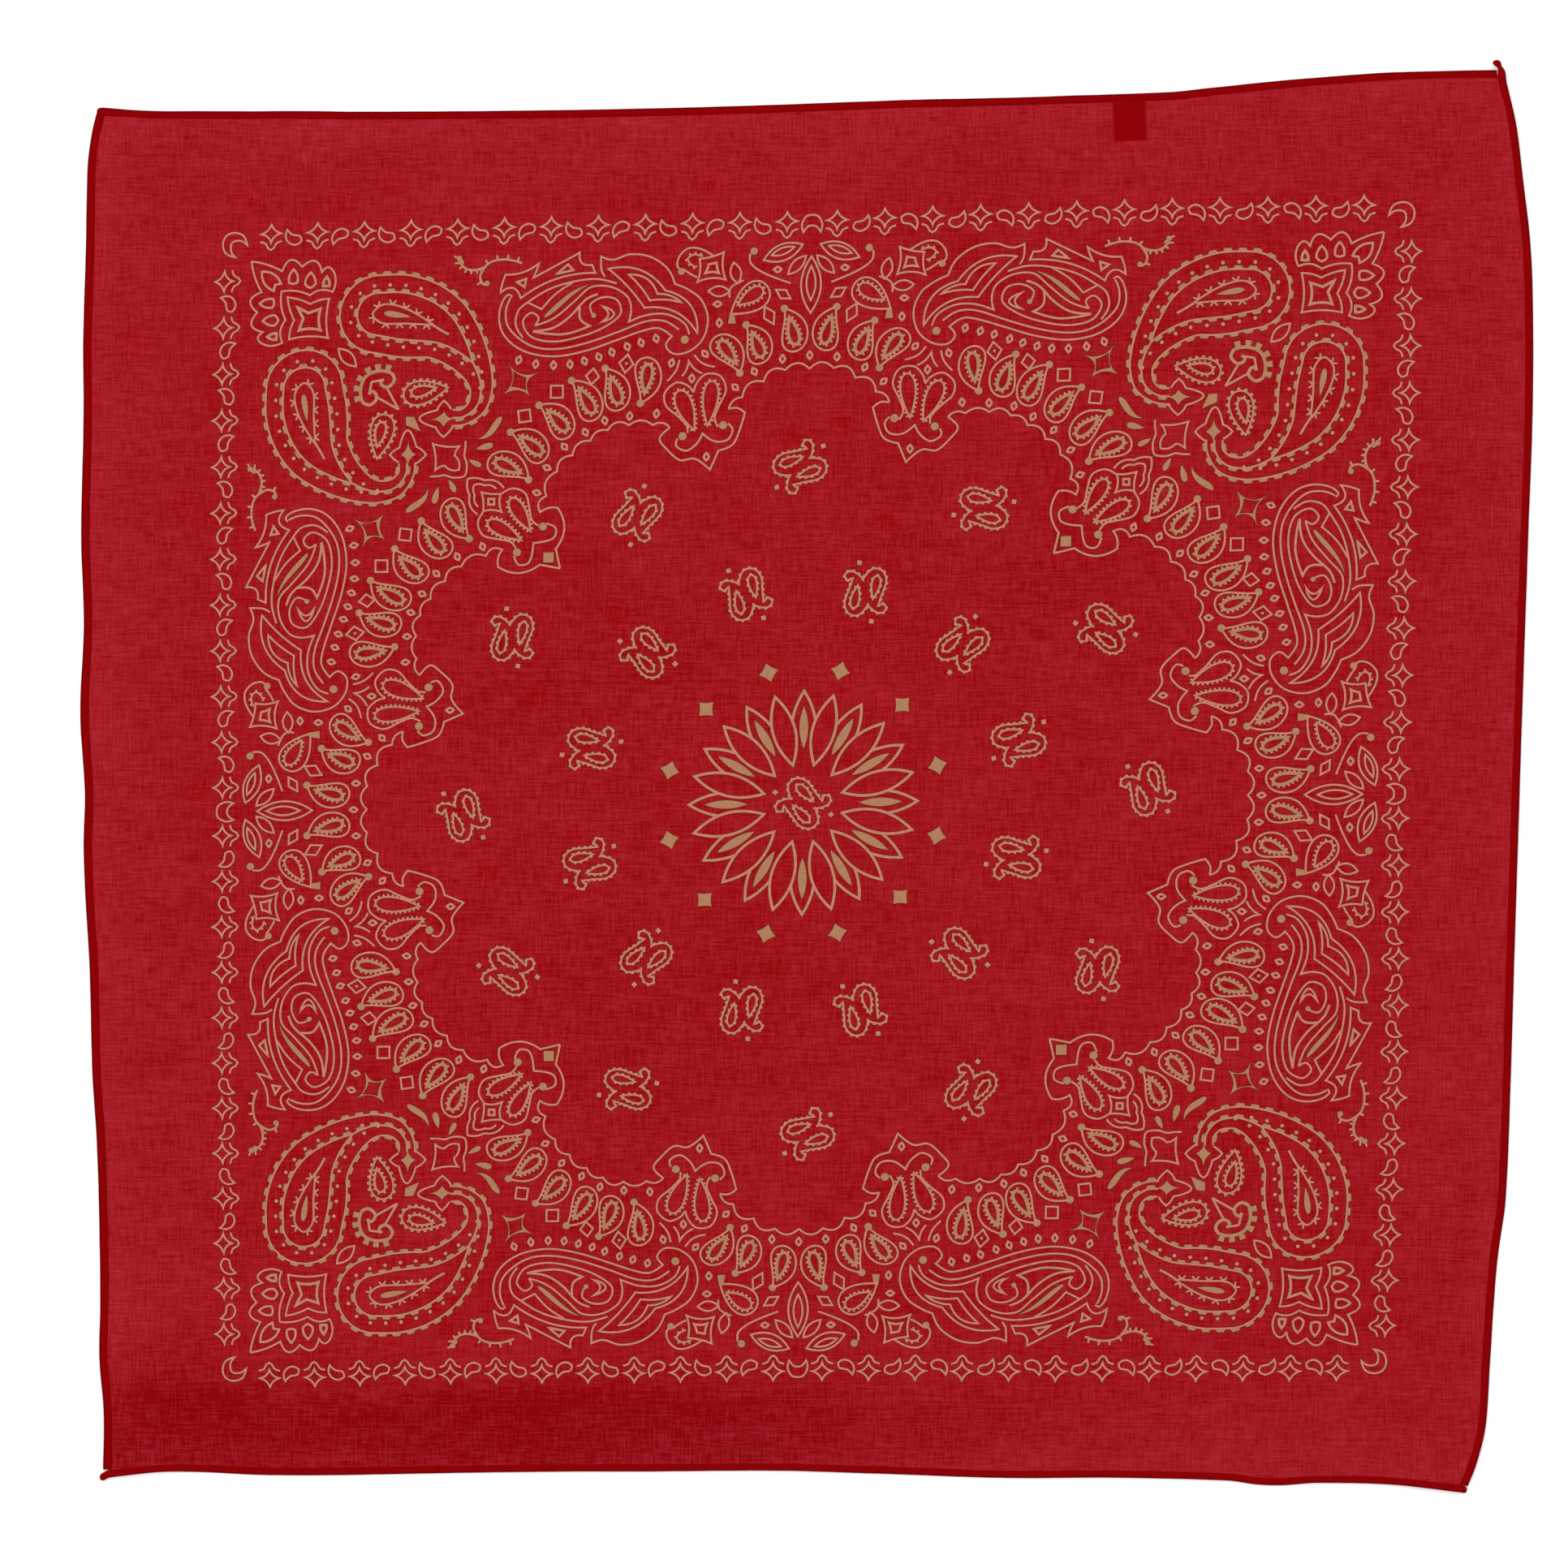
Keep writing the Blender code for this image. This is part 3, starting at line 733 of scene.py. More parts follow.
class BANDANA_OT_label(bpy.types.Operator):
    """Sew the blank label to the back, under the top hem"""
    bl_idname = "bandana.label"
    bl_label = "Label"

    def execute(self, context):
        top, way, outwards = label_frame()
        low, high = [], []
        for i in range(LABEL_ROWS + 1):
            for j in range(LABEL_COLUMNS + 1):
                spot = (top + way * (LABEL_WIDTH * (j / LABEL_COLUMNS - 0.5))
                        - outwards * (LABEL_LENGTH * i / LABEL_ROWS))
                fold = LABEL_FOLD if i in (0, LABEL_ROWS) or j in (0, LABEL_COLUMNS) else 0.0
                low.append((*spot, fold))
                high.append((*spot, LABEL_WALL - fold))
        faces = plate_faces(LABEL_ROWS + 1, LABEL_COLUMNS + 1)
        piece = make_mesh("blank_label", np.vstack((high, low)), faces)
        piece.data.materials.append(woven_label_ribbon())
        finish_piece(piece, "label")
        return {"FINISHED"}


# ---- The print's pen --------------------------------------------------------------------------------------
# The print is drawn flat in a square frame, in millimetres right and down from the frame's top left corner.
# Turns are in degrees, clockwise from the way right.  "Left" is the left hand of one who walks along a line.
FRAME_HALF = 229.7
FRAME_MIDDLE = 2 * FRAME_HALF
PEN_STEP = 1.5
# Widths of the printed lines.
THIN, MIDDLE, THICK, HEART = 0.68, 0.82, 1.0, 1.2
OPEN, LOOP = False, True
# The plain drop's own width, and what brings its greatest bend to 1.
DROP_OWN_WIDTH, DROP_BEND_SCALE = 1.54, 27 / 4
# Two unit ways whose sum is shorter than the first make a hairpin; a corner's mitre is reckoned with no
# smaller cosine than the second.
HAIRPIN, MITRE_LIMIT = 0.2, 0.45
# How far to either side of a place the line's way is read.
READ_AHEAD = 0.3
# A toothed line: how much fuller it is printed, where teeth start against its width, and a foot kept pink.
TOOTHED_FULL, TOOTH_START, PINK_FOOT = 0.3, 0.3, 1.0

Stroke = namedtuple("Stroke", "points width closed full")
Solid = namedtuple("Solid", "points full", defaults=[1.0])
# Teeth along a line: pitch, width at the foot and at the tip, reach past the line and splay in degrees.
Teeth = namedtuple("Teeth", "pitch foot tip reach splay")
ROPE = Teeth(5.7, 3.8, 2.6, 1.05, 0)
TICKS = Teeth(1.75, 0.9, 0.6, 0.75, 0)
KNOBS = Teeth(2.4, 1.4, 1.0, 0.85, 0)
BLOCKS = Teeth(3.4, 1.9, 2.4, 2.1, 0)
HAIRS = Teeth(5.0, 0.75, 0.55, 1.9, 38)
SPIKES = Teeth(3.9, 0.9, 0.6, 1.5, 0)
FRINGE = Teeth(1.9, 0.9, 0.6, 1.2, 0)
NUBS = Teeth(2.2, 1.2, 0.8, 0.45, 0)


def smooth(rows, closed=OPEN):
    """A smooth line through a few points; a row with a third value is a sharp corner."""
    at, sharp, count = np.array([row[:2] for row in rows], float), [len(row) > 2 for row in rows], len(rows)

    def heading(i):
        before, here, after = at[i - 1], at[i], at[(i + 1) % count]
        return (after - before) / (np.hypot(*(after - here)) + np.hypot(*(here - before)))

    line = []
    for i in range(count if closed else count - 1):
        j = (i + 1) % count
        run = at[j] - at[i]
        size = np.hypot(*run)
        free = [sharp[i] or (not closed and i == 0), sharp[j] or (not closed and j == count - 1)]
        leave, arrive = (None if loose else heading(k) * size for loose, k in zip(free, (i, j)))
        if leave is None:
            leave = run if arrive is None else 1.5 * run - 0.5 * arrive
        if arrive is None:
            arrive = 1.5 * run - 0.5 * leave
        t = np.linspace(0, 1, max(1, math.ceil(size / PEN_STEP)), endpoint=False)[:, None]
        line.append(at[i] + t * leave + t ** 2 * (3 * run - 2 * leave - arrive)
                    + t ** 3 * (leave + arrive - 2 * run))
    return np.vstack(line if closed else line + [at[-1:]])


def arcs(rows, closed=LOOP):
    """Arcs from cusp to cusp; each row's third value is how far its arc swells left, against its length."""
    rows = np.array(rows, float)
    line = []
    for i in range(len(rows) if closed else len(rows) - 1):
        run = rows[(i + 1) % len(rows), :2] - rows[i, :2]
        size = np.hypot(*run) * (1 + abs(rows[i, 2]))
        t = np.linspace(0, 1, max(2, math.ceil(size / PEN_STEP)), endpoint=False)[:, None]
        line.append(rows[i, :2] + t * run + 4 * t * (1 - t) * rows[i, 2] * np.array((run[1], -run[0])))
    return np.vstack(line if closed else line + [rows[-1:, :2]])


def put(points, x, y, turn=0.0):
    """Points turned clockwise about their origin and moved to a place."""
    c, s = math.cos(math.radians(turn)), math.sin(math.radians(turn))
    return np.asarray(points, float) @ np.array(((c, s), (-s, c))) + (x, y)


def teardrop(length, width, bend=0.0):
    """A drop lying along the way right, its tip at the origin; bend moves its neck left."""
    turn = np.linspace(0, 2 * np.pi, max(10, round((2 * length + width) / PEN_STEP)), endpoint=False)
    along = (1 - np.cos(turn)) / 2
    side = -np.sin(turn) * np.abs(np.sin(turn / 2)) * width / DROP_OWN_WIDTH
    return np.column_stack((along * length, side - DROP_BEND_SCALE * bend * along * (1 - along) ** 2))


def leaf(length, width):
    """A leaf with two sharp tips, lying along the way right from the origin."""
    return arcs([(0, 0, width / length / 2), (length, 0, width / length / 2)])


def lozenge(long, wide):
    """A lozenge about the origin from its half-length and half-width."""
    return np.array(((-long, 0), (0, -wide), (long, 0), (0, wide)), float)


def ring(radius, count=10):
    """A round dot about the origin."""
    turn = np.linspace(0, 2 * np.pi, count, endpoint=False)
    return radius * np.column_stack((np.cos(turn), np.sin(turn)))


def left_ways(points, closed):
    """Unit ways left at each point of a line, longer at its corners so that a stroke keeps its width."""
    before, after = np.roll(points, 1, 0), np.roll(points, -1, 0)
    if not closed:
        before[0], after[-1] = 2 * points[0] - points[1], 2 * points[-1] - points[-2]
    come, go = points - before, after - points
    come, go = come / np.hypot(*come.T)[:, None], go / np.hypot(*go.T)[:, None]
    way = come + go
    way = np.where(np.hypot(*way.T)[:, None] > HAIRPIN, way, np.column_stack((come[:, 1], -come[:, 0])))
    way = way / np.hypot(*way.T)[:, None]
    return np.column_stack((way[:, 1], -way[:, 0])) / np.clip((way * come).sum(1), MITRE_LIMIT, 1)[:, None]


def gone_along(points):
    """Length of the line up to each of its points."""
    return np.concatenate(([0], np.cumsum(np.hypot(*np.diff(points, axis=0).T))))


def along(points, closed, pitch):
    """Places at an even pitch along a line, with the way left at each."""
    ends = np.vstack((points, points[:1])) if closed else points
    gone = gone_along(ends)
    count = max(1, int(gone[-1] / pitch))
    spots = (np.arange(count) + 0.5) * gone[-1] / count
    x, y = (np.interp(spots, gone, ends[:, k]) for k in (0, 1))
    ahead = [np.interp(spots + READ_AHEAD, gone, ends[:, k]) - np.interp(spots - READ_AHEAD, gone, ends[:, k])
             for k in (0, 1)]
    return np.column_stack((x, y)), np.column_stack((ahead[1], -ahead[0])) / np.hypot(*ahead)[:, None]


def stroke(points, width=THIN, closed=OPEN, teeth=None, side=1):
    """A stroke along a line, with teeth on its left (side 1) or on its right (side -1)."""
    marks = [Stroke(points, width, closed, min(1.0, width - THIN + (TOOTHED_FULL if teeth else 0.0)))]
    if teeth:
        low, high = width * TOOTH_START, width / 2 + teeth.reach
        tooth = np.array(((low, teeth.foot / 2), (high, teeth.tip / 2), (high, -teeth.tip / 2),
                          (low, -teeth.foot / 2)))
        for spot, left in zip(*along(points, closed, teeth.pitch)):
            turn = math.degrees(math.atan2(*(left * side)[::-1]))
            for splay in {teeth.splay, -teeth.splay}:
                # Wide teeth are printed out to tan; narrow ones stay as pink as a thin line.
                full = min(1.0, max(0.0, teeth.foot - PINK_FOOT))
                marks.append(Solid(put(tooth, *spot, turn + splay), full))
    return marks


def curve(rows, width=THIN, closed=OPEN, teeth=None, side=1):
    """A stroke along a smooth line."""
    return stroke(smooth(rows, closed), width, closed, teeth, side)


def cusps(rows, width=THIN, closed=LOOP):
    """A stroke along arcs from cusp to cusp."""
    return stroke(arcs(rows, closed), width, closed)


def outlined(shape, x=0.0, y=0.0, turn=0.0, width=THIN, teeth=None):
    """A stroke round a shape that is turned and moved to its place."""
    return stroke(put(shape, x, y, turn), width, LOOP, teeth)


def filled(shape, x=0.0, y=0.0, turn=0.0, full=1.0):
    """A solid mark with a shape's outline, turned and moved to its place."""
    return [Solid(put(shape, x, y, turn), full)]


def moved(marks, x=0.0, y=0.0, turn=0.0):
    """The marks turned about their origin and moved to a place."""
    return [mark._replace(points=put(mark.points, x, y, turn)) for mark in marks]


def over_diagonal(marks):
    """The marks with their mirror image over the frame's diagonal."""
    return marks + [mark._replace(points=mark.points[:, ::-1]) for mark in marks]


def over_middle(marks):
    """The marks with their mirror image over the middle of the frame's side."""
    return marks + [mark._replace(points=mark.points * (-1, 1) + (FRAME_MIDDLE, 0)) for mark in marks]


def quarter_turns(marks):
    """The marks in all four quarters of the frame."""
    centred = moved(marks, -FRAME_HALF, -FRAME_HALF)
    return [mark for turn in (0, 90, 180, 270)
            for mark in moved(moved(centred, turn=turn), FRAME_HALF, FRAME_HALF)]


# ---- The print's motifs -----------------------------------------------------------------------------------
# A boteh's body along its middle, from the head's centre to the tail: place and half-width.
GREAT_BOTEH = [(58.6, 29.9, 15.4), (68, 31, 16.2), (77, 33.2, 15.2), (84, 36.4, 13.2), (90, 41.4, 10.6),
               (95.4, 47.9, 7.9), (99.2, 54.8, 5.6), (100.6, 60.8, 4.4), (99.2, 67.4, 3.8), (94.4, 71.4, 3.1),
               (89.4, 71.9, 3.2)]
CAP_POINTS = 14
# How far inside its outline the great boteh's seeds and its inner rope run, and the seeds' pitch and radius.
SEED_INSET, INNER_INSET, SEED_PITCH, SEED = 4.1, 7.0, 6.1, 0.72
# A ringed drop: width, bend and ball; its heart's length and start as shares, width, place aside and turn.
DROP_WIDTH, DROP_BEND, BALL = 10.4, 1.9, 1.5
CORE_LENGTH, CORE_START, CORE_WIDTH, CORE_ASIDE, CORE_TURN = 0.63, 0.23, 4.2, 0.9, 2


def boteh_rim(body, inset, whole=True):
    """The line that far inside a boteh's outline; past the neck, a whole one runs on down its middle."""
    middle = smooth([row[:2] for row in body])
    at, share = (gone / gone[-1] for gone in (gone_along(np.array(body)[:, :2]), gone_along(middle)))
    half = read_bow(np.column_stack((at, [row[2] for row in body])), share) - inset
    left = left_ways(middle, OPEN)
    wide = half > 0
    kept = np.ones_like(wide) if whole else wide
    near = (middle + left * np.maximum(half, 0)[:, None])[kept][::-1]
    far = (middle - left * np.maximum(half, 0)[:, None])[wide if inset else kept]
    back = math.atan2(*(near[-1] - middle[0])[::-1])
    turn = back - np.linspace(0, np.pi, CAP_POINTS)[1:-1]
    cap = middle[0] + half[0] * np.column_stack((np.cos(turn), np.sin(turn)))
    return np.vstack((near, cap, far))


def ringed_drop(turn, length, side):
    """A solid ball with a bent drop round a ticked heart; side 1 swells left and side -1 right."""
    core = put(teardrop(length * CORE_LENGTH, CORE_WIDTH), length * CORE_START, -CORE_ASIDE * side,
               CORE_TURN * side)
    return (outlined(teardrop(length, DROP_WIDTH, DROP_BEND * side), 0, 0, turn)
            + outlined(core, 0, 0, turn, HEART, TICKS) + filled(ring(BALL)))


def palmette_side():
    """Half of the palmette in the corner, with three windows."""
    return (cusps([(7, 7, 0.05), (19.5, 11.5, 0.46), (27.5, 10, 0.42), (35.5, 12.5, 0.4), (40.2, 12.4, 0.13),
                   (40, 20.5, -0.16), (31, 21.5, -0.08), (19.5, 19.5, 0)], closed=OPEN)
            + cusps([(24.1, 10.9, 0.14), (25.8, 16.2, 0.14), (22.4, 16.2, 0.14)], MIDDLE)
            + cusps([(31, 12.4, 0.12), (33.1, 17, 0.1), (31, 18.6, 0.1), (28.9, 17, 0.12)], MIDDLE)
            + cusps([(37.5, 14.4, 0.12), (38.7, 18, 0.05), (36.2, 18, 0.12)], THICK))


def palmette_middle():
    """The palmette's window, double shield and leaf, on the diagonal."""
    return (cusps([(11.3, 11.3, 0.17), (19.2, 16.4, 0), (16.8, 16.8, 0), (16.4, 19.2, 0.17)], MIDDLE)
            + cusps([(22, 22, 0.05), (31.2, 25, 0.07), (38.8, 23.2, -0.06), (38.8, 38.8, -0.06),
                     (23.2, 38.8, 0.07), (25, 31.2, 0.05)])
            + cusps([(26, 26, 0), (30.6, 28.6, 0), (35.4, 27, -0.08), (35.6, 35.6, -0.08), (27, 35.4, 0),
                     (28.6, 30.6, 0)], THICK)
            + outlined(leaf(10.2, 4.4), 43.2, 43.2, 45))


def great_boteh():
    """A boteh in two ropes with seeds between them, a hooked tail and a haired heart."""
    seeds = along(boteh_rim(GREAT_BOTEH, SEED_INSET, whole=False), OPEN, SEED_PITCH)[0]
    return (stroke(boteh_rim(GREAT_BOTEH, 0), THIN, OPEN, ROPE, -1)
            + cusps([(90, 75, 0.05), (86.2, 79.4, 0.08), (83, 75.5, 1), (83.3, 68.7, 0.08), (86, 65, 0.05),
                     (89, 68.6, 0)], closed=OPEN)
            + stroke(boteh_rim(GREAT_BOTEH, INNER_INSET), THIN, OPEN, ROPE, -1)
            + filled(arcs([(90.6, 72.2, -0.15), (86.1, 75.2, -0.17), (80.2, 72.4, -0.12),
                           (86.1, 69.5, -0.17)])) + [Solid(put(ring(SEED, 8), *spot), 0.0) for spot in seeds]
            + curve([(81, 35, 1), (69.3, 28), (60.8, 26.2), (56.4, 29.8), (60, 33.5),
                     (70, 34.1)], THIN, LOOP, HAIRS, -1)
            + curve([(80.6, 35), (84, 37.2), (87.1, 38.9)], MIDDLE)
            + filled(teardrop(11, 2.3), 71.8, 31.5, 190))


def snail_side():
    """Half of the snail's shell: its curl and two stalks."""
    return (curve([(64.7, 53.4), (66, 56), (64.8, 58.2), (62.9, 59.1), (60.9, 58.1), (60.5, 56.4),
                   (61.8, 56)], HEART) + curve([(61.8, 56), (56.8, 56.8)], MIDDLE)
            + curve([(62.9, 59.1), (68, 68)], MIDDLE))


def snail_middle():
    """The snail's toothed back and its foot on the diagonal."""
    return (curve([(64.7, 53.4), (61, 52.5), (57.6, 52.9), (54.5, 54.5), (52.9, 57.6), (52.5, 61),
                   (53.4, 64.7)], HEART, OPEN, BLOCKS, -1)
            + filled([(71, 71), (74.3, 71.2), (76.8, 76.8), (71.2, 74.3)]))


def corner_drops():
    """A knobbed drop in the boteh's bend, and three small solid ones beside the star."""
    return (outlined(teardrop(17.8, 9.4), 87.4, 59.9, 171, teeth=KNOBS)
            + outlined(teardrop(10, 4.2), 82.6, 59.8, 169, MIDDLE, TICKS)
            + filled(teardrop(12.4, 2.5, -1.5), 99.9, 80.5, -42)
            + filled(teardrop(6.8, 2.5), 99.3, 84.5, -13) + filled(teardrop(5.7, 2.1), 96.4, 88.7, 28))


def corner_tulip_side():
    """Half of the tulip at the group's inner tip: two brackets, a petal with a ball and a ticked drop."""
    return (cusps([(96, 96.3, 0.1), (102.9, 97.1, 0.17), (110.6, 100.4, 0)], closed=OPEN)
            + cusps([(98.8, 98.8, 0.12), (102.9, 99.1, 0.16), (107.6, 100.6, 0)], closed=OPEN)
            + curve([(109.3, 102.9), (114, 100.6), (119, 102.6), (120.8, 108.5), (121.9, 113.5),
                     (124.6, 115.8)]) + filled(ring(1.6), 126.3, 116.2)
            + curve([(127.6, 115), (131.4, 117), (130.5, 121), (122.5, 122.7)])
            + outlined(teardrop(15.4, 5.4), 121.4, 117.8, -121, MIDDLE, TICKS))


def corner_star():
    """The star, its collar, and the kite and lozenge beyond it, on the diagonal."""
    return (cusps([(82, 82, -0.06), (92.6, 83.2, -0.1), (90.8, 86.9, 0.16), (92.6, 92.6, 0.16),
                   (86.9, 90.8, -0.1), (83.2, 92.6, -0.06)])
            + curve([(95, 81.2), (94.9, 84.6), (94.6, 87), (95.6, 90), (95.6, 93.4), (95, 95), (93.4, 95.6),
                     (90, 95.6), (87, 94.6), (84.6, 94.9), (81.2, 95)])
            + cusps([(101.8, 101.8, -0.05), (109.4, 102.6, -0.1), (110, 110, -0.1), (102.6, 109.4, -0.05)])
            + outlined(lozenge(1.6, 1.6), 105.7, 105.7, 45, MIDDLE)
            + filled(lozenge(2.8, 2.8), 128.7, 128.7, 45))


def corner_group():
    """A great boteh pair round a palmette, star, snail and tulip, drawn along the frame's diagonal."""
    half = palmette_side() + great_boteh() + snail_side() + corner_drops() + corner_tulip_side()
    return over_diagonal(half) + palmette_middle() + snail_middle() + corner_star()


# Small lozenges with a hole: place and turn.
SCALLOP_LOZENGES = [
    (123.6, 102.6, 18), (127.4, 92.7, 24), (134.1, 84.6, 50), (142.2, 79.1, 65), (149.7, 74.7, 76),
    (159.4, 73.2, 92), (169.9, 72.6, 97), (200.6, 63.3, 43), (208, 57.4, 64), (219, 52.9, 90),
    (229.7, 51.9, 90), (188.5, 49.8, 50), (175.4, 52.9, 104), (189.8, 90.3, 90),
]
SIDE_LOZENGES = [
    (115.2, 49.9, 110), (122, 51.7, 98), (129, 52.4, 90), (135.5, 52.2, 82), (141.2, 51.1, 70),
    (146.8, 49.7, 68), (151.9, 48, 70), (157.9, 46, 70), (163.3, 44.6, 70), (169.2, 43.2, 75),
    (183.5, 59.2, 90), (193.1, 30.6, 0), (193.9, 37.9, 90), (216.5, 17.9, 0),
]
# Larger lozenges: place, turn, half-length and half-width.
SIDE_WINDOWS = [
    (130.6, 62.8, 45, 3.4, 3.3), (118.1, 72, 38, 3.3, 3.2), (144.5, 57.2, 97, 3.1, 2.6),
    (157.7, 52.6, 98, 3.6, 2.8), (218.9, 27.6, 32, 3.4, 1.9), (213.5, 35.7, 62, 3.9, 2.3),
]
# Ringed drops: the ball's place, the drop's turn and length, and the side that swells.
SIDE_DROPS = [
    (112.7, 78.2, 37, 17.9, 1), (123.7, 67.9, 44, 17.7, 1), (136.3, 58.6, 57, 18.4, 1),
    (149.4, 54.2, 69, 17.6, 1), (163.5, 68.3, 279, 18.0, -1), (120.3, 97.3, 209, 18.1, -1),
    (219.4, 33.2, 73, 17.6, 1), (204.5, 39.1, 65, 16.5, 1), (202.3, 57.8, 236, 17.5, -1),
]


def small_lozenges(rows):
    """A small open lozenge with slightly rounded sides at each place."""
    shape = arcs([(-1.5, 0, 0.08), (0, -1.05, 0.08), (1.5, 0, 0.08), (0, 1.05, 0.08)])
    return [mark for x, y, turn in rows for mark in outlined(shape, x, y, turn, MIDDLE)]


def scallop_row():
    """The scalloped line round the field, from a corner's tip to the middle of a side."""
    pod = smooth([(175.3, 78.2, 1), (171.3, 82.5), (174, 86.5), (179.5, 91.3), (185, 90.8), (191.3, 95.5, 1),
                  (194.5, 88, 1), (200, 85.8), (202.5, 80.5), (204.6, 73.4, 1), (201.5, 71.4),
                  (198.2, 71.7)])
    first = arcs([(133.3, 133.3, 0), (131.5, 125.3, -0.18), (132, 108.9, -0.12), (125.1, 110.4, 0.28),
                  (127.4, 104, 0.24), (131.4, 94.4, 0.25), (137.3, 88.1, 0.24), (144.3, 82.5, 0.22),
                  (150.9, 78.5, 0.26), (159.2, 76.8, 0.2), (168.5, 77, 0.2), (175.3, 78.2, 0)], OPEN)
    last = arcs([(198.2, 71.7, 0.2), (203.5, 67.3, 0.28), (211.7, 61.5, 0.28), (220.2, 57.3, 0.26),
                 (FRAME_HALF, 57.2, 0)], OPEN)
    eighth = stroke(first) + stroke(pod) + stroke(last) + small_lozenges(SCALLOP_LOZENGES)
    return over_diagonal(eighth)


def twig():
    """A forked twig with spikes along it and a bud at two of its ends."""
    bud = [Solid(put(ring(1.1, 8), *spot)) for spot in ((90.4, 9.2), (91.2, 10.8), (101.7, 19.4))]
    return (curve([(91.2, 11.4), (92.6, 13), (96, 14), (100.4, 13)], MIDDLE, OPEN, FRINGE, -1)
            + curve([(100.4, 13), (103.6, 10.8), (109.5, 10.3), (115.4, 12)], MIDDLE, OPEN, SPIKES)
            + curve([(101, 12.6), (98.9, 16.2), (99.7, 19.2), (101.4, 20)], MIDDLE, OPEN, SPIKES, -1)
            + curve([(90.4, 9.2), (88.2, 8.2)]) + curve([(91.2, 10.8), (88.6, 11)]) + bud)


def crown():
    """A flame-like crest over the wing, with two windows."""
    return (cusps([(109, 16.2, -0.1), (122.2, 12.2, 0.03), (120, 17.9, 0), (138.2, 8.7, -0.32),
                   (143.2, 13.6, 0), (144.6, 16.8, -0.09), (115.3, 25.7, -0.36), (107.2, 23.2, 0.04)])
            + cusps([(113.7, 19.3, 0), (117.2, 18.2, 0), (116.7, 21.4, 0)], MIDDLE)
            + cusps([(129.4, 16.6, 0), (133.7, 13.1, 0), (135.8, 15.4, 0)], MIDDLE))


def wing():
    """A long swirl under the crown: nested hooks, a scroll, a sail and a pair of chevron leaves."""
    outer = smooth([(111.9, 25), (110.3, 24.1), (108, 27), (106.9, 33), (108.5, 39), (113, 44), (120, 47.5),
                    (130, 48.9), (142, 47), (154, 43.2), (164, 40), (170, 39.2), (175.4, 42.5, 1), (173, 46),
                    (176, 49.3), (182, 48.7), (187.5, 44), (189.4, 36), (186.5, 28.5), (181, 24.3),
                    (176.2, 22.2, 1), (173, 16), (166, 11.2), (158, 10), (151.5, 11.9), (146.7, 10.5, 1),
                    (147, 15.8), (148.5, 18.5)])
    lines = ([(111.3, 25.3), (109.6, 30), (110.3, 36), (115, 41.4), (122, 45.2), (131, 46), (142, 44),
              (154, 40.2), (165, 36.4), (172, 36.4), (178, 40)],
             [(116.6, 41.1), (113.6, 36), (114.5, 30.5), (118.1, 27.4), (126.4, 22.6), (135.7, 20),
              (145, 19.2), (153.1, 21.2)],
             [(118.1, 27.4), (123.7, 30.3, 1), (129, 24.6), (135.7, 20.3)],
             [(121.3, 36.6, 1), (122.6, 33.5), (119.5, 31.5), (116.4, 35), (119.8, 40.9), (129, 43.1),
              (140, 41.3), (149, 37.9), (155, 33), (153.5, 27.7), (148, 26.4), (143, 29), (143.7, 32.7)],
             [(121.3, 36.6, 1), (128.9, 33.8), (137, 27.3), (143, 22.3), (151, 22.5), (157.5, 26.5),
              (159.1, 31.2), (158.3, 36.3, 1), (166, 33.8), (173.5, 34), (180, 37.5), (182.2, 42)])
    return (stroke(outer) + [mark for line in lines for mark in curve(line)]
            + filled(teardrop(20.7, 1.8, -1.0), 141.8, 21.5, 145)
            + curve([(120.5, 38.8), (128.5, 37.7), (135, 33.5), (141, 27.2), (145.8, 25.1)], MIDDLE)
            + curve([(138.8, 29.8), (139.2, 34.8), (143, 37.4, 1), (134, 40.2), (126.5, 40),
                     (120.5, 38.8)], MIDDLE) + cusps([(146.8, 29.5, 0.8), (146.7, 36.6, -0.48)])
            + cusps([(149.7, 15.4, 0.16), (172.4, 24.6, 0.2), (185.4, 41.8, -0.16), (164.3, 31.1, -0.04)])
            + cusps([(157.8, 17.9, 0.18), (169.3, 25.8, 0.1), (179, 29.6, -0.06), (166.4, 28.3, -0.04)])
            + filled(ring(1.0, 8), 144.4, 33.4) + filled(ring(1.6), 180.4, 44))


def tulip():
    """Two ticked drops held by a pair of hooked petals, over the dip in the scalloped line."""
    petals = (
        [(184.3, 64.7, 1), (182, 62), (177.5, 60.6), (173, 64.5), (173.5, 69.5), (178, 73.6), (181.8, 77.5),
         (182.2, 80.6)],
        [(194.2, 78.6), (192.7, 75), (194.5, 70), (197, 64), (194.5, 58.5), (189, 57.7), (185.5, 61),
         (184.3, 64.7, 1)],
        [(178.3, 82.7), (177.8, 85.5), (181.9, 87.6), (186, 84.8), (188.1, 81, 1), (193, 84.3), (198, 83.8),
         (199.9, 80), (198, 77.4)],
        [(178.5, 51.8), (177.2, 56), (173.9, 59.9)], [(184.3, 50), (187.5, 53.4), (192.4, 55)])
    return ([mark for line in petals for mark in curve(line)]
            + cusps([(179.6, 58.2, -0.1), (182.1, 52.2, -0.1), (187.6, 57.4, 0)], closed=OPEN)
            + outlined(teardrop(17, 6.4), 184.8, 79.6, -112, teeth=TICKS)
            + outlined(teardrop(17.6, 6), 190, 78, -85, teeth=TICKS) + filled(ring(1.6), 180.3, 81.8)
            + filled(ring(1.6), 196.1, 78))


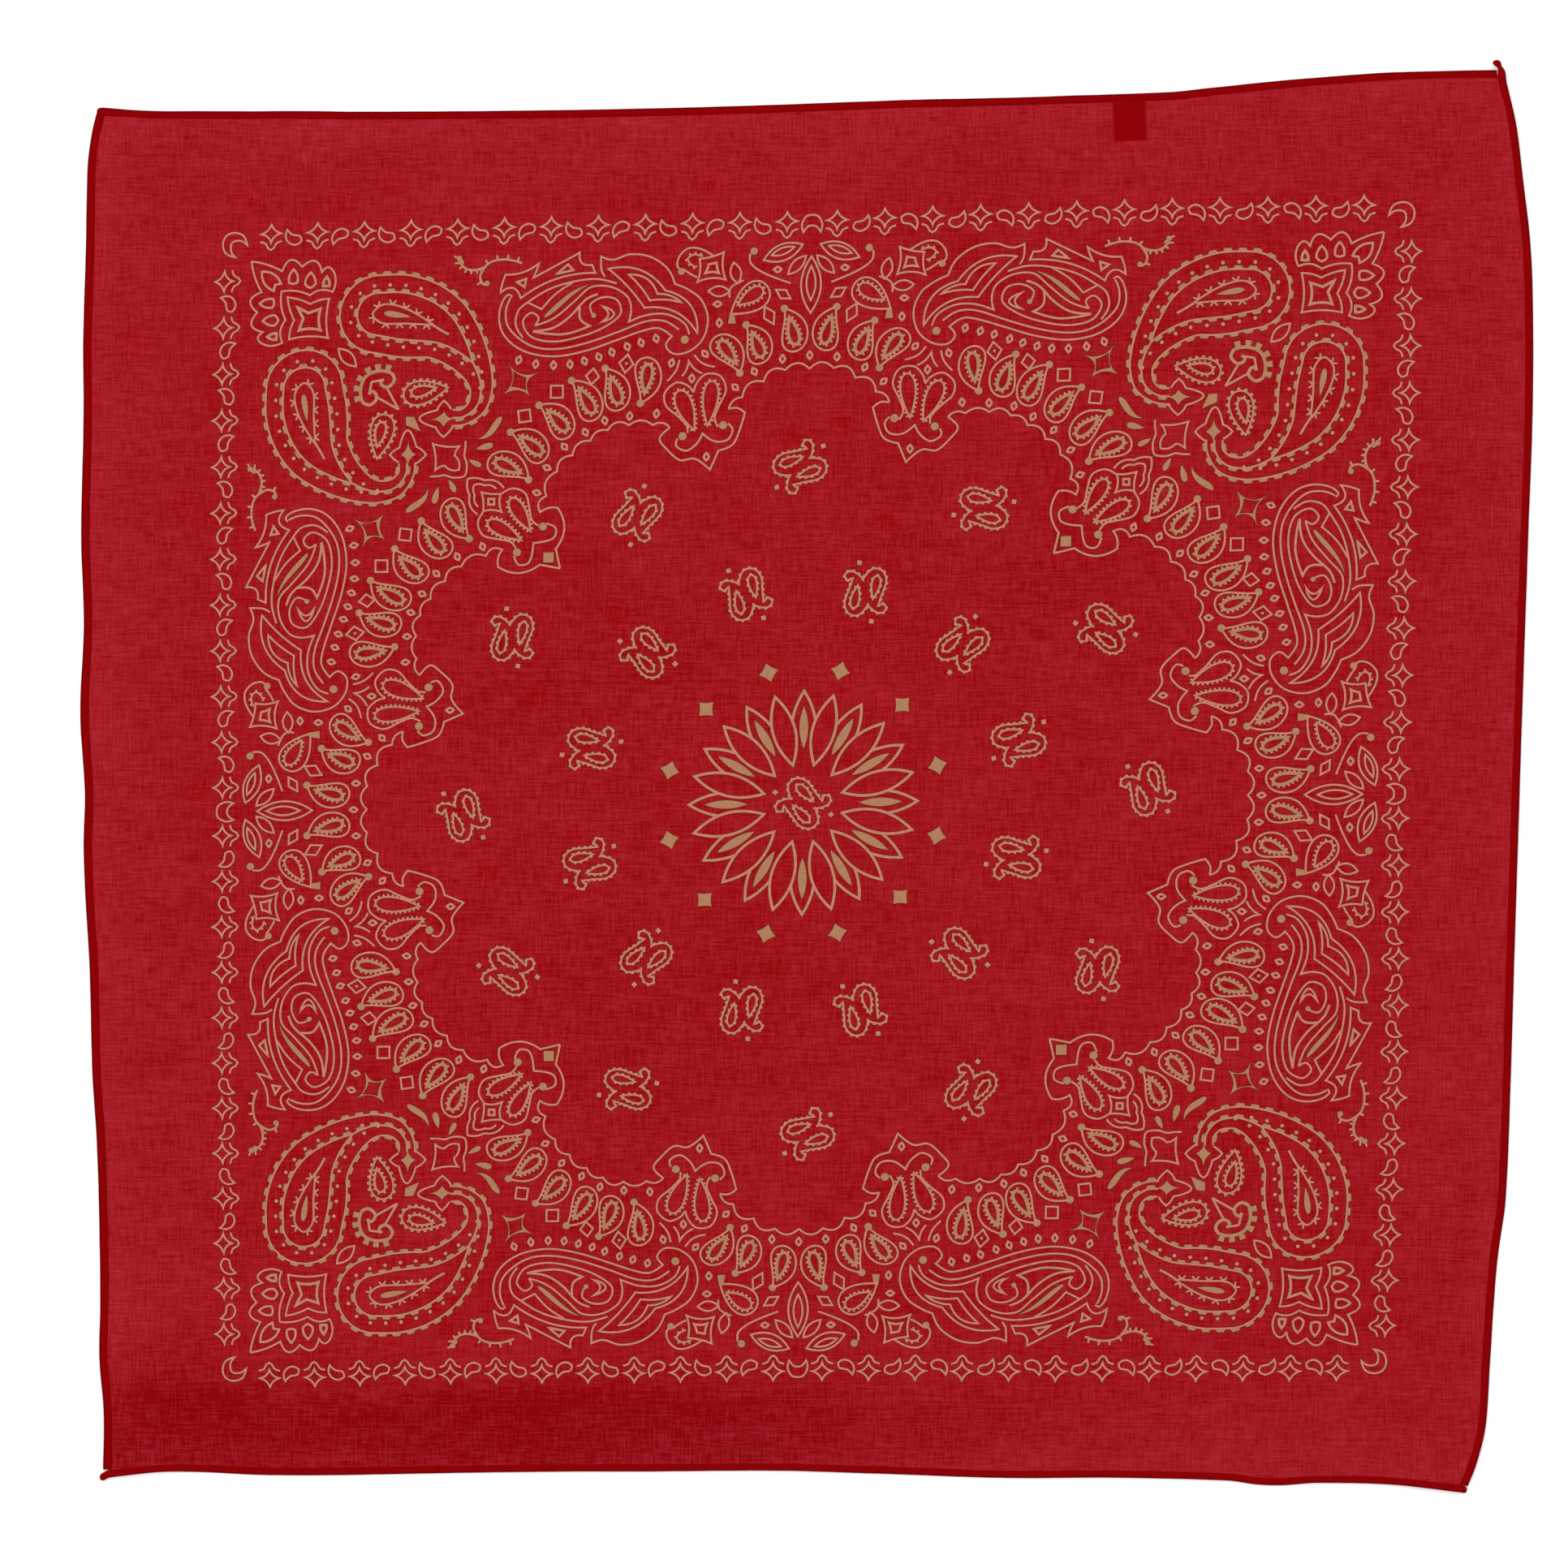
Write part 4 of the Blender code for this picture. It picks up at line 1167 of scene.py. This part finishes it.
def star_band():
    """A broad four-cornered star with a hole, made of four arms' worth of band."""
    tips = [(110.8, 50.6), (122.9, 55.2), (119.8, 63.9), (109.9, 63)]
    hole = [(113.2, 54), (118.6, 56.8), (118.6, 62.2), (112.4, 60.4)]
    dents = [0.2, 0.3, 0.18, 0.22]
    band = []
    for k, dent in enumerate(dents):
        far = (k + 1) % len(tips)
        band.append(Solid(arcs([(*tips[k], -dent), (*tips[far], 0), (*hole[far], 0.06), (*hole[k], 0)])))
    return band


def moon_and_star():
    """An open crescent behind a four-cornered star."""
    return (curve([(179.6, 17.2), (177, 15.5), (177.6, 11.6), (181, 8.5), (185.5, 8.7), (191, 11.6)])
            + filled(ring(1.4, 8), 178.6, 17.4) + curve([(179.6, 16.6), (182, 18.4), (184.8, 19.9)])
            + curve([(186.9, 11.8), (183, 11), (180.9, 12.7), (182.6, 15), (184.7, 15.8)], THIN, OPEN, TICKS,
                    -1)
            + cusps([(195.2, 10.4, -0.08), (196.1, 21.2, -0.1), (184.9, 21.8, -0.08), (185.6, 12.7, -0.05)])
            + cusps([(192.4, 14.4, -0.05), (193.4, 18.6, -0.1), (188, 18.4, -0.05), (189.2, 15, 0)], MIDDLE))


def plume():
    """A drop on a stem between two leaves, and beside it a curl with three more."""
    return (outlined(teardrop(17.5, 11), 198.4, 34.6, -36)
            + outlined(teardrop(11.5, 5.2), 201, 31.2, -32, teeth=TICKS)
            + filled(((198, 34.2), (199.6, 34.2), (200.4, 38.4), (197.4, 38.3)))
            + curve([(197.8, 28.2), (198.2, 24.4), (203.1, 21.7)])
            + outlined(leaf(8.4, 4.2), 201, 22.8, -103) + outlined(leaf(8.4, 4), 189.4, 25.4, 3)
            + curve([(205.6, 11.3), (205.8, 15), (210.4, 18.7), (221.7, 23.4)])
            + filled(ring(1.5, 8), 207.1, 10.4) + outlined(leaf(16.3, 6.4), 210.9, 14, -20)
            + outlined(leaf(9.4, 2.6), 214, 12.3, -19) + outlined(leaf(9.8, 3.8), 220.7, 19.9, -46))


def side_group():
    """Everything between two corners, drawn from its left end to its middle and mirrored."""
    half = (twig() + crown() + wing() + tulip() + moon_and_star() + plume() + small_lozenges(SIDE_LOZENGES)
            + star_band())
    for x, y, turn, long, wide in SIDE_WINDOWS:
        half += outlined(lozenge(long, wide), x, y, turn)
    for x, y, turn, size, side in SIDE_DROPS:
        half += moved(ringed_drop(turn, size, side), x, y)
    half += filled(lozenge(0.7, 0.6), 157.7, 52.6, 98, 0.0)
    own = outlined(leaf(22.1, 7.8), FRAME_HALF, 13.2, 90) + outlined(leaf(13.3, 3.6), FRAME_HALF, 17, 90)
    return over_middle(half) + own


# The border row: stars from a corner to the middle, their pitch, the first one's place along, how far outside
# the frame it stands and how far inwards each next one is, and where its drops are turned over.
STARS, STAR_PITCH, FIRST_STAR, STAR_OUTSIDE, STAR_DRIFT, DROP_TURNOVER = 12, 18.66, 14.6, 3.6, 0.26, 3.4


def border_row():
    """One side's row of stars, brackets and drops, with a crescent at its first corner and in its middle."""
    star = (cusps([(0, -3.7, -0.14), (4.4, 0, -0.1), (1.5, 1.1, -0.1), (0, 3.7, -0.1), (-1.5, 1.1, -0.1),
                   (-4.4, 0, -0.14)])
            + curve([(-4.4, 3), (-2.2, 3.8), (-1.2, 5.6), (0, 6.4), (1.2, 5.6), (2.2, 3.8), (4.4, 3)]))
    drop = smooth([(-2.9, 4.8, 1), (-3.5, 2.3), (-2.4, -0.1), (0.3, -1.3), (2.9, 0), (2.2, 2.2),
                   (-0.6, 2.7)], LOOP)
    tip_down = stroke(drop, THIN, LOOP)
    tip_up = stroke((drop * (1, -1) + (0, DROP_TURNOVER))[::-1], THIN, LOOP)
    half = []
    for k in range(STARS):
        half += moved(star, FIRST_STAR + STAR_PITCH * k, STAR_DRIFT * k - STAR_OUTSIDE)
        if k < STARS - 1:
            half += moved(tip_down if k % 2 else tip_up, FIRST_STAR + STAR_PITCH * (k + 0.5),
                          STAR_DRIFT * (k + 0.5) - STAR_OUTSIDE)
    crescent = smooth([(-3.4, 3.6, 1), (-4, 0.5), (-2.3, -2.6), (0, -3.1), (2.3, -2.6), (4, 0.5),
                       (3.4, 3.6, 1), (1.6, 1.4), (0, 1.1), (-1.6, 1.4)], LOOP)
    corner = smooth([(5.2, 0.6, 1), (3.2, -3.6), (-0.6, -4.8), (-3.6, -3.6), (-4.8, -0.6), (-3.6, 3.2),
                     (0.6, 5.2, 1), (-1.4, 2.6), (-1, -1), (2.6, -1.4)], LOOP)
    return over_middle(half) + outlined(crescent, FRAME_HALF, 0) + stroke(corner, THIN, LOOP)


# A quarter's loose motifs: distance from the frame's middle, way to it and the motif's turn.
MotifPlace = namedtuple("MotifPlace", "radius way turn")
FIELD_PLACES = [MotifPlace(*row) for row in (
    (86.5, 15.7, 125), (87, 45, 161), (87, 74.5, 11), (134, 31, 36), (134.4, 60.4, 59), (134, 88.7, 96))]
MIDDLE_MOTIF_TURN = 160


def field_motif():
    """Two small botehs head to tail, each with a hooked tip, a ticked heart and a square beside it."""
    half = (curve([(3.2, 3.2), (5.6, 4.1), (9.6, 3.7), (10.8, 1.2), (8.8, -0.2, 1), (7.3, 1.7, 1), (6, -2.5),
                   (4.3, -8), (0.7, -10.5), (-3, -9), (-3.8, -3.8)], THIN, OPEN, NUBS, -1)
            + outlined(teardrop(9.2, 3.4), 4.0, 0.6, -114, teeth=NUBS)
            + filled(lozenge(1.2, 1.15), 8.7, 8.1, 20, 0.3))
    return half + moved(half, turn=180)


def field_group():
    """The loose motifs of the field: one in its middle and six in each quarter."""
    marks = moved(field_motif(), FRAME_HALF, FRAME_HALF, MIDDLE_MOTIF_TURN)
    for place in FIELD_PLACES:
        for quarter in range(4):
            way = math.radians(place.way + 90 * quarter)
            x, y = place.radius * math.cos(way), place.radius * math.sin(way)
            marks += moved(field_motif(), FRAME_HALF + x, FRAME_HALF + y, place.turn + 90 * quarter)
    return marks


# Degrees from one of the flower's leaves to the next.
LEAF_TURN = 30


def flower():
    """Twelve leaves over the tips of twelve more, in a ring of solid squares."""
    front = outlined(leaf(28.2, 8.8), 15.9, 0, width=THICK)
    square = filled(arcs([(-3.8, 0, -0.06), (0, -3.8, -0.06), (3.8, 0, -0.06), (0, 3.8, -0.06)]), 54.2, 0)
    back = (curve([(33.4, 4.4), (36.4, 3.8), (40.8, 2.2), (44.7, 0, 1), (40.8, -2.2), (36.4, -3.8),
                   (33.4, -4.4)], THICK) + filled(leaf(16.6, 3.3), 22, 0))
    marks = []
    for turn in range(0, 360, LEAF_TURN):
        marks += moved(back, turn=turn) + moved(front + square, turn=turn + LEAF_TURN / 2)
    return moved(marks, FRAME_HALF, FRAME_HALF)


# ---- The print on the cloth -------------------------------------------------------------------------------
# Where the frame's corners, its sides' middles and its middle lie on the cloth, row by row from the top.
FRAME_ON_CLOTH = [
    [(-229.8, 213.3), (2.0, 222.1), (238.9, 225.4)],
    [(-234.0, -14.4), (-1.9, -10.5), (236.6, -7.2)],
    [(-229.5, -238.1), (-3.9, -238.1), (227.5, -235.2)],
]

# Where the cloth is pulled a little askew: place in the frame, reach, and pull right and up.
Pull = namedtuple("Pull", "x y reach right up")
PULLS = [Pull(*row) for row in (
    (105, 105, 90, -0.4, -1.3), (354, 105, 90, 0.0, 1.4), (354, 354, 90, 2.0, 0.0), (115, 340, 70, 1.3, -0.4),
    (230, 230, 70, 0.2, -0.6), (445, 335, 70, 1.2, -0.7), (30, 140, 50, -0.7, -0.1), (190, 80, 50, 0.3, -0.6),
    (335, 15, 60, 0.5, 0.1), (100, 450, 80, -0.5, 1.2))]

# Points in each station of a printed strip.
STRIP = 4
# Marks rise in steps, and so do their stations: share of the relief, and steps before it starts again.
MARK_RISE, MARK_STEPS = 0.05, 7
STATION_RISE, STATION_STEPS = 0.03, 3


def on_cloth(points):
    """Where points of the flat frame lie on the cloth: parabolas through the nine places, and pulls."""
    across, down = (np.stack((t * (t - 1) / 2, 1 - t * t, t * (t + 1) / 2), axis=1)
                    for t in (points.T / FRAME_HALF - 1))
    spots = np.einsum("ni,nj,ijk->nk", down, across, np.array(FRAME_ON_CLOTH))
    for pull in PULLS:
        share = np.exp(-((points - (pull.x, pull.y)) ** 2).sum(axis=1) / pull.reach ** 2)
        spots += share[:, None] * (pull.right, pull.up)
    return spots


def stroke_mesh(mark, ink):
    """Points, rim shares and faces of a strip with a flat top, slanted sides and a foot in the cloth."""
    half, fringe = mark.width * ink.weight / 2, ink.fringe / MM
    left = left_ways(mark.points, mark.closed)
    asides = (half + fringe, half, -half, -half - fringe)
    points = np.stack([mark.points + left * aside for aside in asides], axis=1)
    count = len(mark.points)
    near = np.arange(count if mark.closed else count - 1)[:, None] * STRIP
    far, corner = (near + STRIP) % (STRIP * count), np.arange(STRIP)
    after = (corner + 1) % STRIP
    faces = np.stack((near + corner, near + after, far + after, far + corner), axis=2).reshape(-1, 4).tolist()
    if not mark.closed:
        faces += [tuple(reversed(range(STRIP))), tuple(range(STRIP * count - STRIP, STRIP * count))]
    return points.reshape(-1, 2), np.tile((1, 0, 0, 1), count), faces


def solid_mesh(mark, ink):
    """Points, rim shares and faces of a flat shape with slanted sides and its foot in the cloth."""
    x, y = mark.points.T
    clockwise = (x * np.roll(y, -1) - y * np.roll(x, -1)).sum() > 0
    loop = mark.points[::-1] if clockwise else mark.points
    count = len(loop)
    foot = loop - left_ways(loop, LOOP) * ink.fringe / MM
    faces = [tuple(range(count)), tuple(reversed(range(count, 2 * count)))]
    for i in range(count):
        j = (i + 1) % count
        faces.append((count + i, count + j, j, i))
    return np.vstack((loop, foot)), np.repeat((0, 1), count), faces


def print_piece(name, marks, material):
    """One piece of the print, drawn flat and laid over the cloth's face."""
    ink = bpy.context.scene.bandana_ink
    points, rims, fulls, rises, faces, start = [], [], [], [], [], 0
    for index, mark in enumerate(marks):
        spots, rim, shape = (stroke_mesh if isinstance(mark, Stroke) else solid_mesh)(mark, ink)
        points.append(spots)
        rims.append(rim)
        fulls.append(np.full(len(spots), mark.full))
        # Marks and their stations differ a little in height, so where they cross no two faces share a plane.
        rises.append(1 + MARK_RISE * (index % MARK_STEPS)
                     + STATION_RISE * (np.arange(len(spots)) // STRIP % STATION_STEPS))
        faces += [tuple(corner + start for corner in face) for face in shape]
        start += len(spots)
    spots, rim = on_cloth(np.vstack(points)), np.concatenate(rims)
    height = face_height(spots) + np.where(rim, -ink.root, ink.relief * np.concatenate(rises)) / MM
    piece = make_mesh(name, np.column_stack((spots, height)), faces, smooth=False, rim=rim,
                      full=np.concatenate(fulls))
    piece.data.materials.append(material)
    finish_piece(piece)


class BANDANA_OT_print(bpy.types.Operator):
    """Print the paisley pattern on the cloth's face"""
    bl_idname = "bandana.print"
    bl_label = "Print"

    def execute(self, context):
        material = discharge_printed_cotton()
        groups = {
            "print_border": quarter_turns(border_row()),
            "print_corners": quarter_turns(corner_group()),
            "print_sides": quarter_turns(side_group()),
            "print_scallops": quarter_turns(scallop_row()),
            "print_field": field_group(),
            "print_flower": flower(),
        }
        for name, marks in groups.items():
            print_piece(name, marks, material)
        return {"FINISHED"}


# ---- The stage --------------------------------------------------------------------------------------------
# The table's half-width and how far it lies under the cloth, and its speckle in metres.
TABLE_REACH, TABLE_DROP, SPECKLE = 4000, 0.05, 0.004
# The soft lamp's side and place in metres, and its tilt in degrees.
SOFTBOX_SIZE, SOFTBOX_PLACE, SOFTBOX_TILT = 2.4, (-0.35, 0.55, 2.3), (-13, -9, 0)
# Focal length and sensor in millimetres, nearest and farthest view in metres, and the camera's place.
FOCAL_LENGTH, SENSOR, NEAREST, FARTHEST = 100.0, 36.0, 0.05, 20.0
CAMERA_PLACE = (-0.0093, -0.0033)


class BANDANA_OT_stage(bpy.types.Operator):
    """Set the table, the soft light and the camera straight above"""
    bl_idname = "bandana.stage"
    bl_label = "Stage"

    def execute(self, context):
        settings = context.scene.bandana_stage
        scene = context.scene
        corners = [(x * TABLE_REACH, y * TABLE_REACH, -TABLE_DROP)
                   for x, y in ((-1, -1), (1, -1), (1, 1), (-1, 1))]
        table = make_mesh("table", corners, [(0, 1, 2, 3)], smooth=False)
        material, tree, place = new_material("matte_table_top")
        speckle = stretched_noise(tree, place, (SPECKLE, SPECKLE, 1))
        tone = blended(tree, speckle, settings.table, TABLE_SPECKLE)
        table.data.materials.append(finish_material(material, tone, TABLE_TOP))

        world = bpy.data.worlds.new("soft_studio")
        world.use_nodes = True
        sky = world.node_tree.nodes["Background"].inputs
        sky["Color"].default_value = (1.0, 1.0, 1.0, 1.0)
        sky["Strength"].default_value = settings.sky
        scene.world = world
        lamp = bpy.data.lights.new("softbox", "AREA")
        lamp.shape = "SQUARE"
        lamp.size = SOFTBOX_SIZE
        lamp.energy = settings.lamp
        softbox = bpy.data.objects.new("softbox", lamp)
        softbox.location = SOFTBOX_PLACE
        softbox.rotation_euler = [math.radians(tilt) for tilt in SOFTBOX_TILT]
        scene.collection.objects.link(softbox)

        lens = bpy.data.cameras.new("overhead")
        lens.lens, lens.sensor_width = FOCAL_LENGTH, SENSOR
        lens.clip_start, lens.clip_end = NEAREST, FARTHEST
        camera = bpy.data.objects.new("overhead", lens)
        camera.location = (*CAMERA_PLACE, settings.view_width * lens.lens / lens.sensor_width)
        scene.collection.objects.link(camera)
        scene.camera = camera
        scene.view_settings.view_transform = "Standard"
        return {"FINISHED"}


class BANDANA_PT_panel(bpy.types.Panel):
    """The steps that make the bandana, in order"""
    bl_label = "Bandana"
    bl_idname = "BANDANA_PT_panel"
    bl_space_type = "VIEW_3D"
    bl_region_type = "UI"
    bl_category = "Bandana"

    def draw(self, context):
        for group in GROUPS:
            box = self.layout.box()
            settings = getattr(context.scene, group)
            for key in settings.__annotations__:
                box.prop(settings, key)
        for step in STEPS:
            self.layout.operator(step.bl_idname)


STEPS = (BANDANA_OT_cloth, BANDANA_OT_hems, BANDANA_OT_label, BANDANA_OT_print, BANDANA_OT_stage)
GROUPS = {"bandana_cloth": BANDANA_PG_cloth, "bandana_hem": BANDANA_PG_hem, "bandana_ink": BANDANA_PG_ink,
          "bandana_stage": BANDANA_PG_stage}


def register():
    for kind in (*GROUPS.values(), *STEPS, BANDANA_PT_panel):
        bpy.utils.register_class(kind)
    for name, kind in GROUPS.items():
        setattr(bpy.types.Scene, name, PointerProperty(type=kind))


def unregister():
    for name in GROUPS:
        delattr(bpy.types.Scene, name)
    for kind in reversed((*GROUPS.values(), *STEPS, BANDANA_PT_panel)):
        bpy.utils.unregister_class(kind)


def main():
    register()
    for step in STEPS:
        group, name = step.bl_idname.split(".")
        getattr(getattr(bpy.ops, group), name)()


if __name__ == "__main__":
    main()
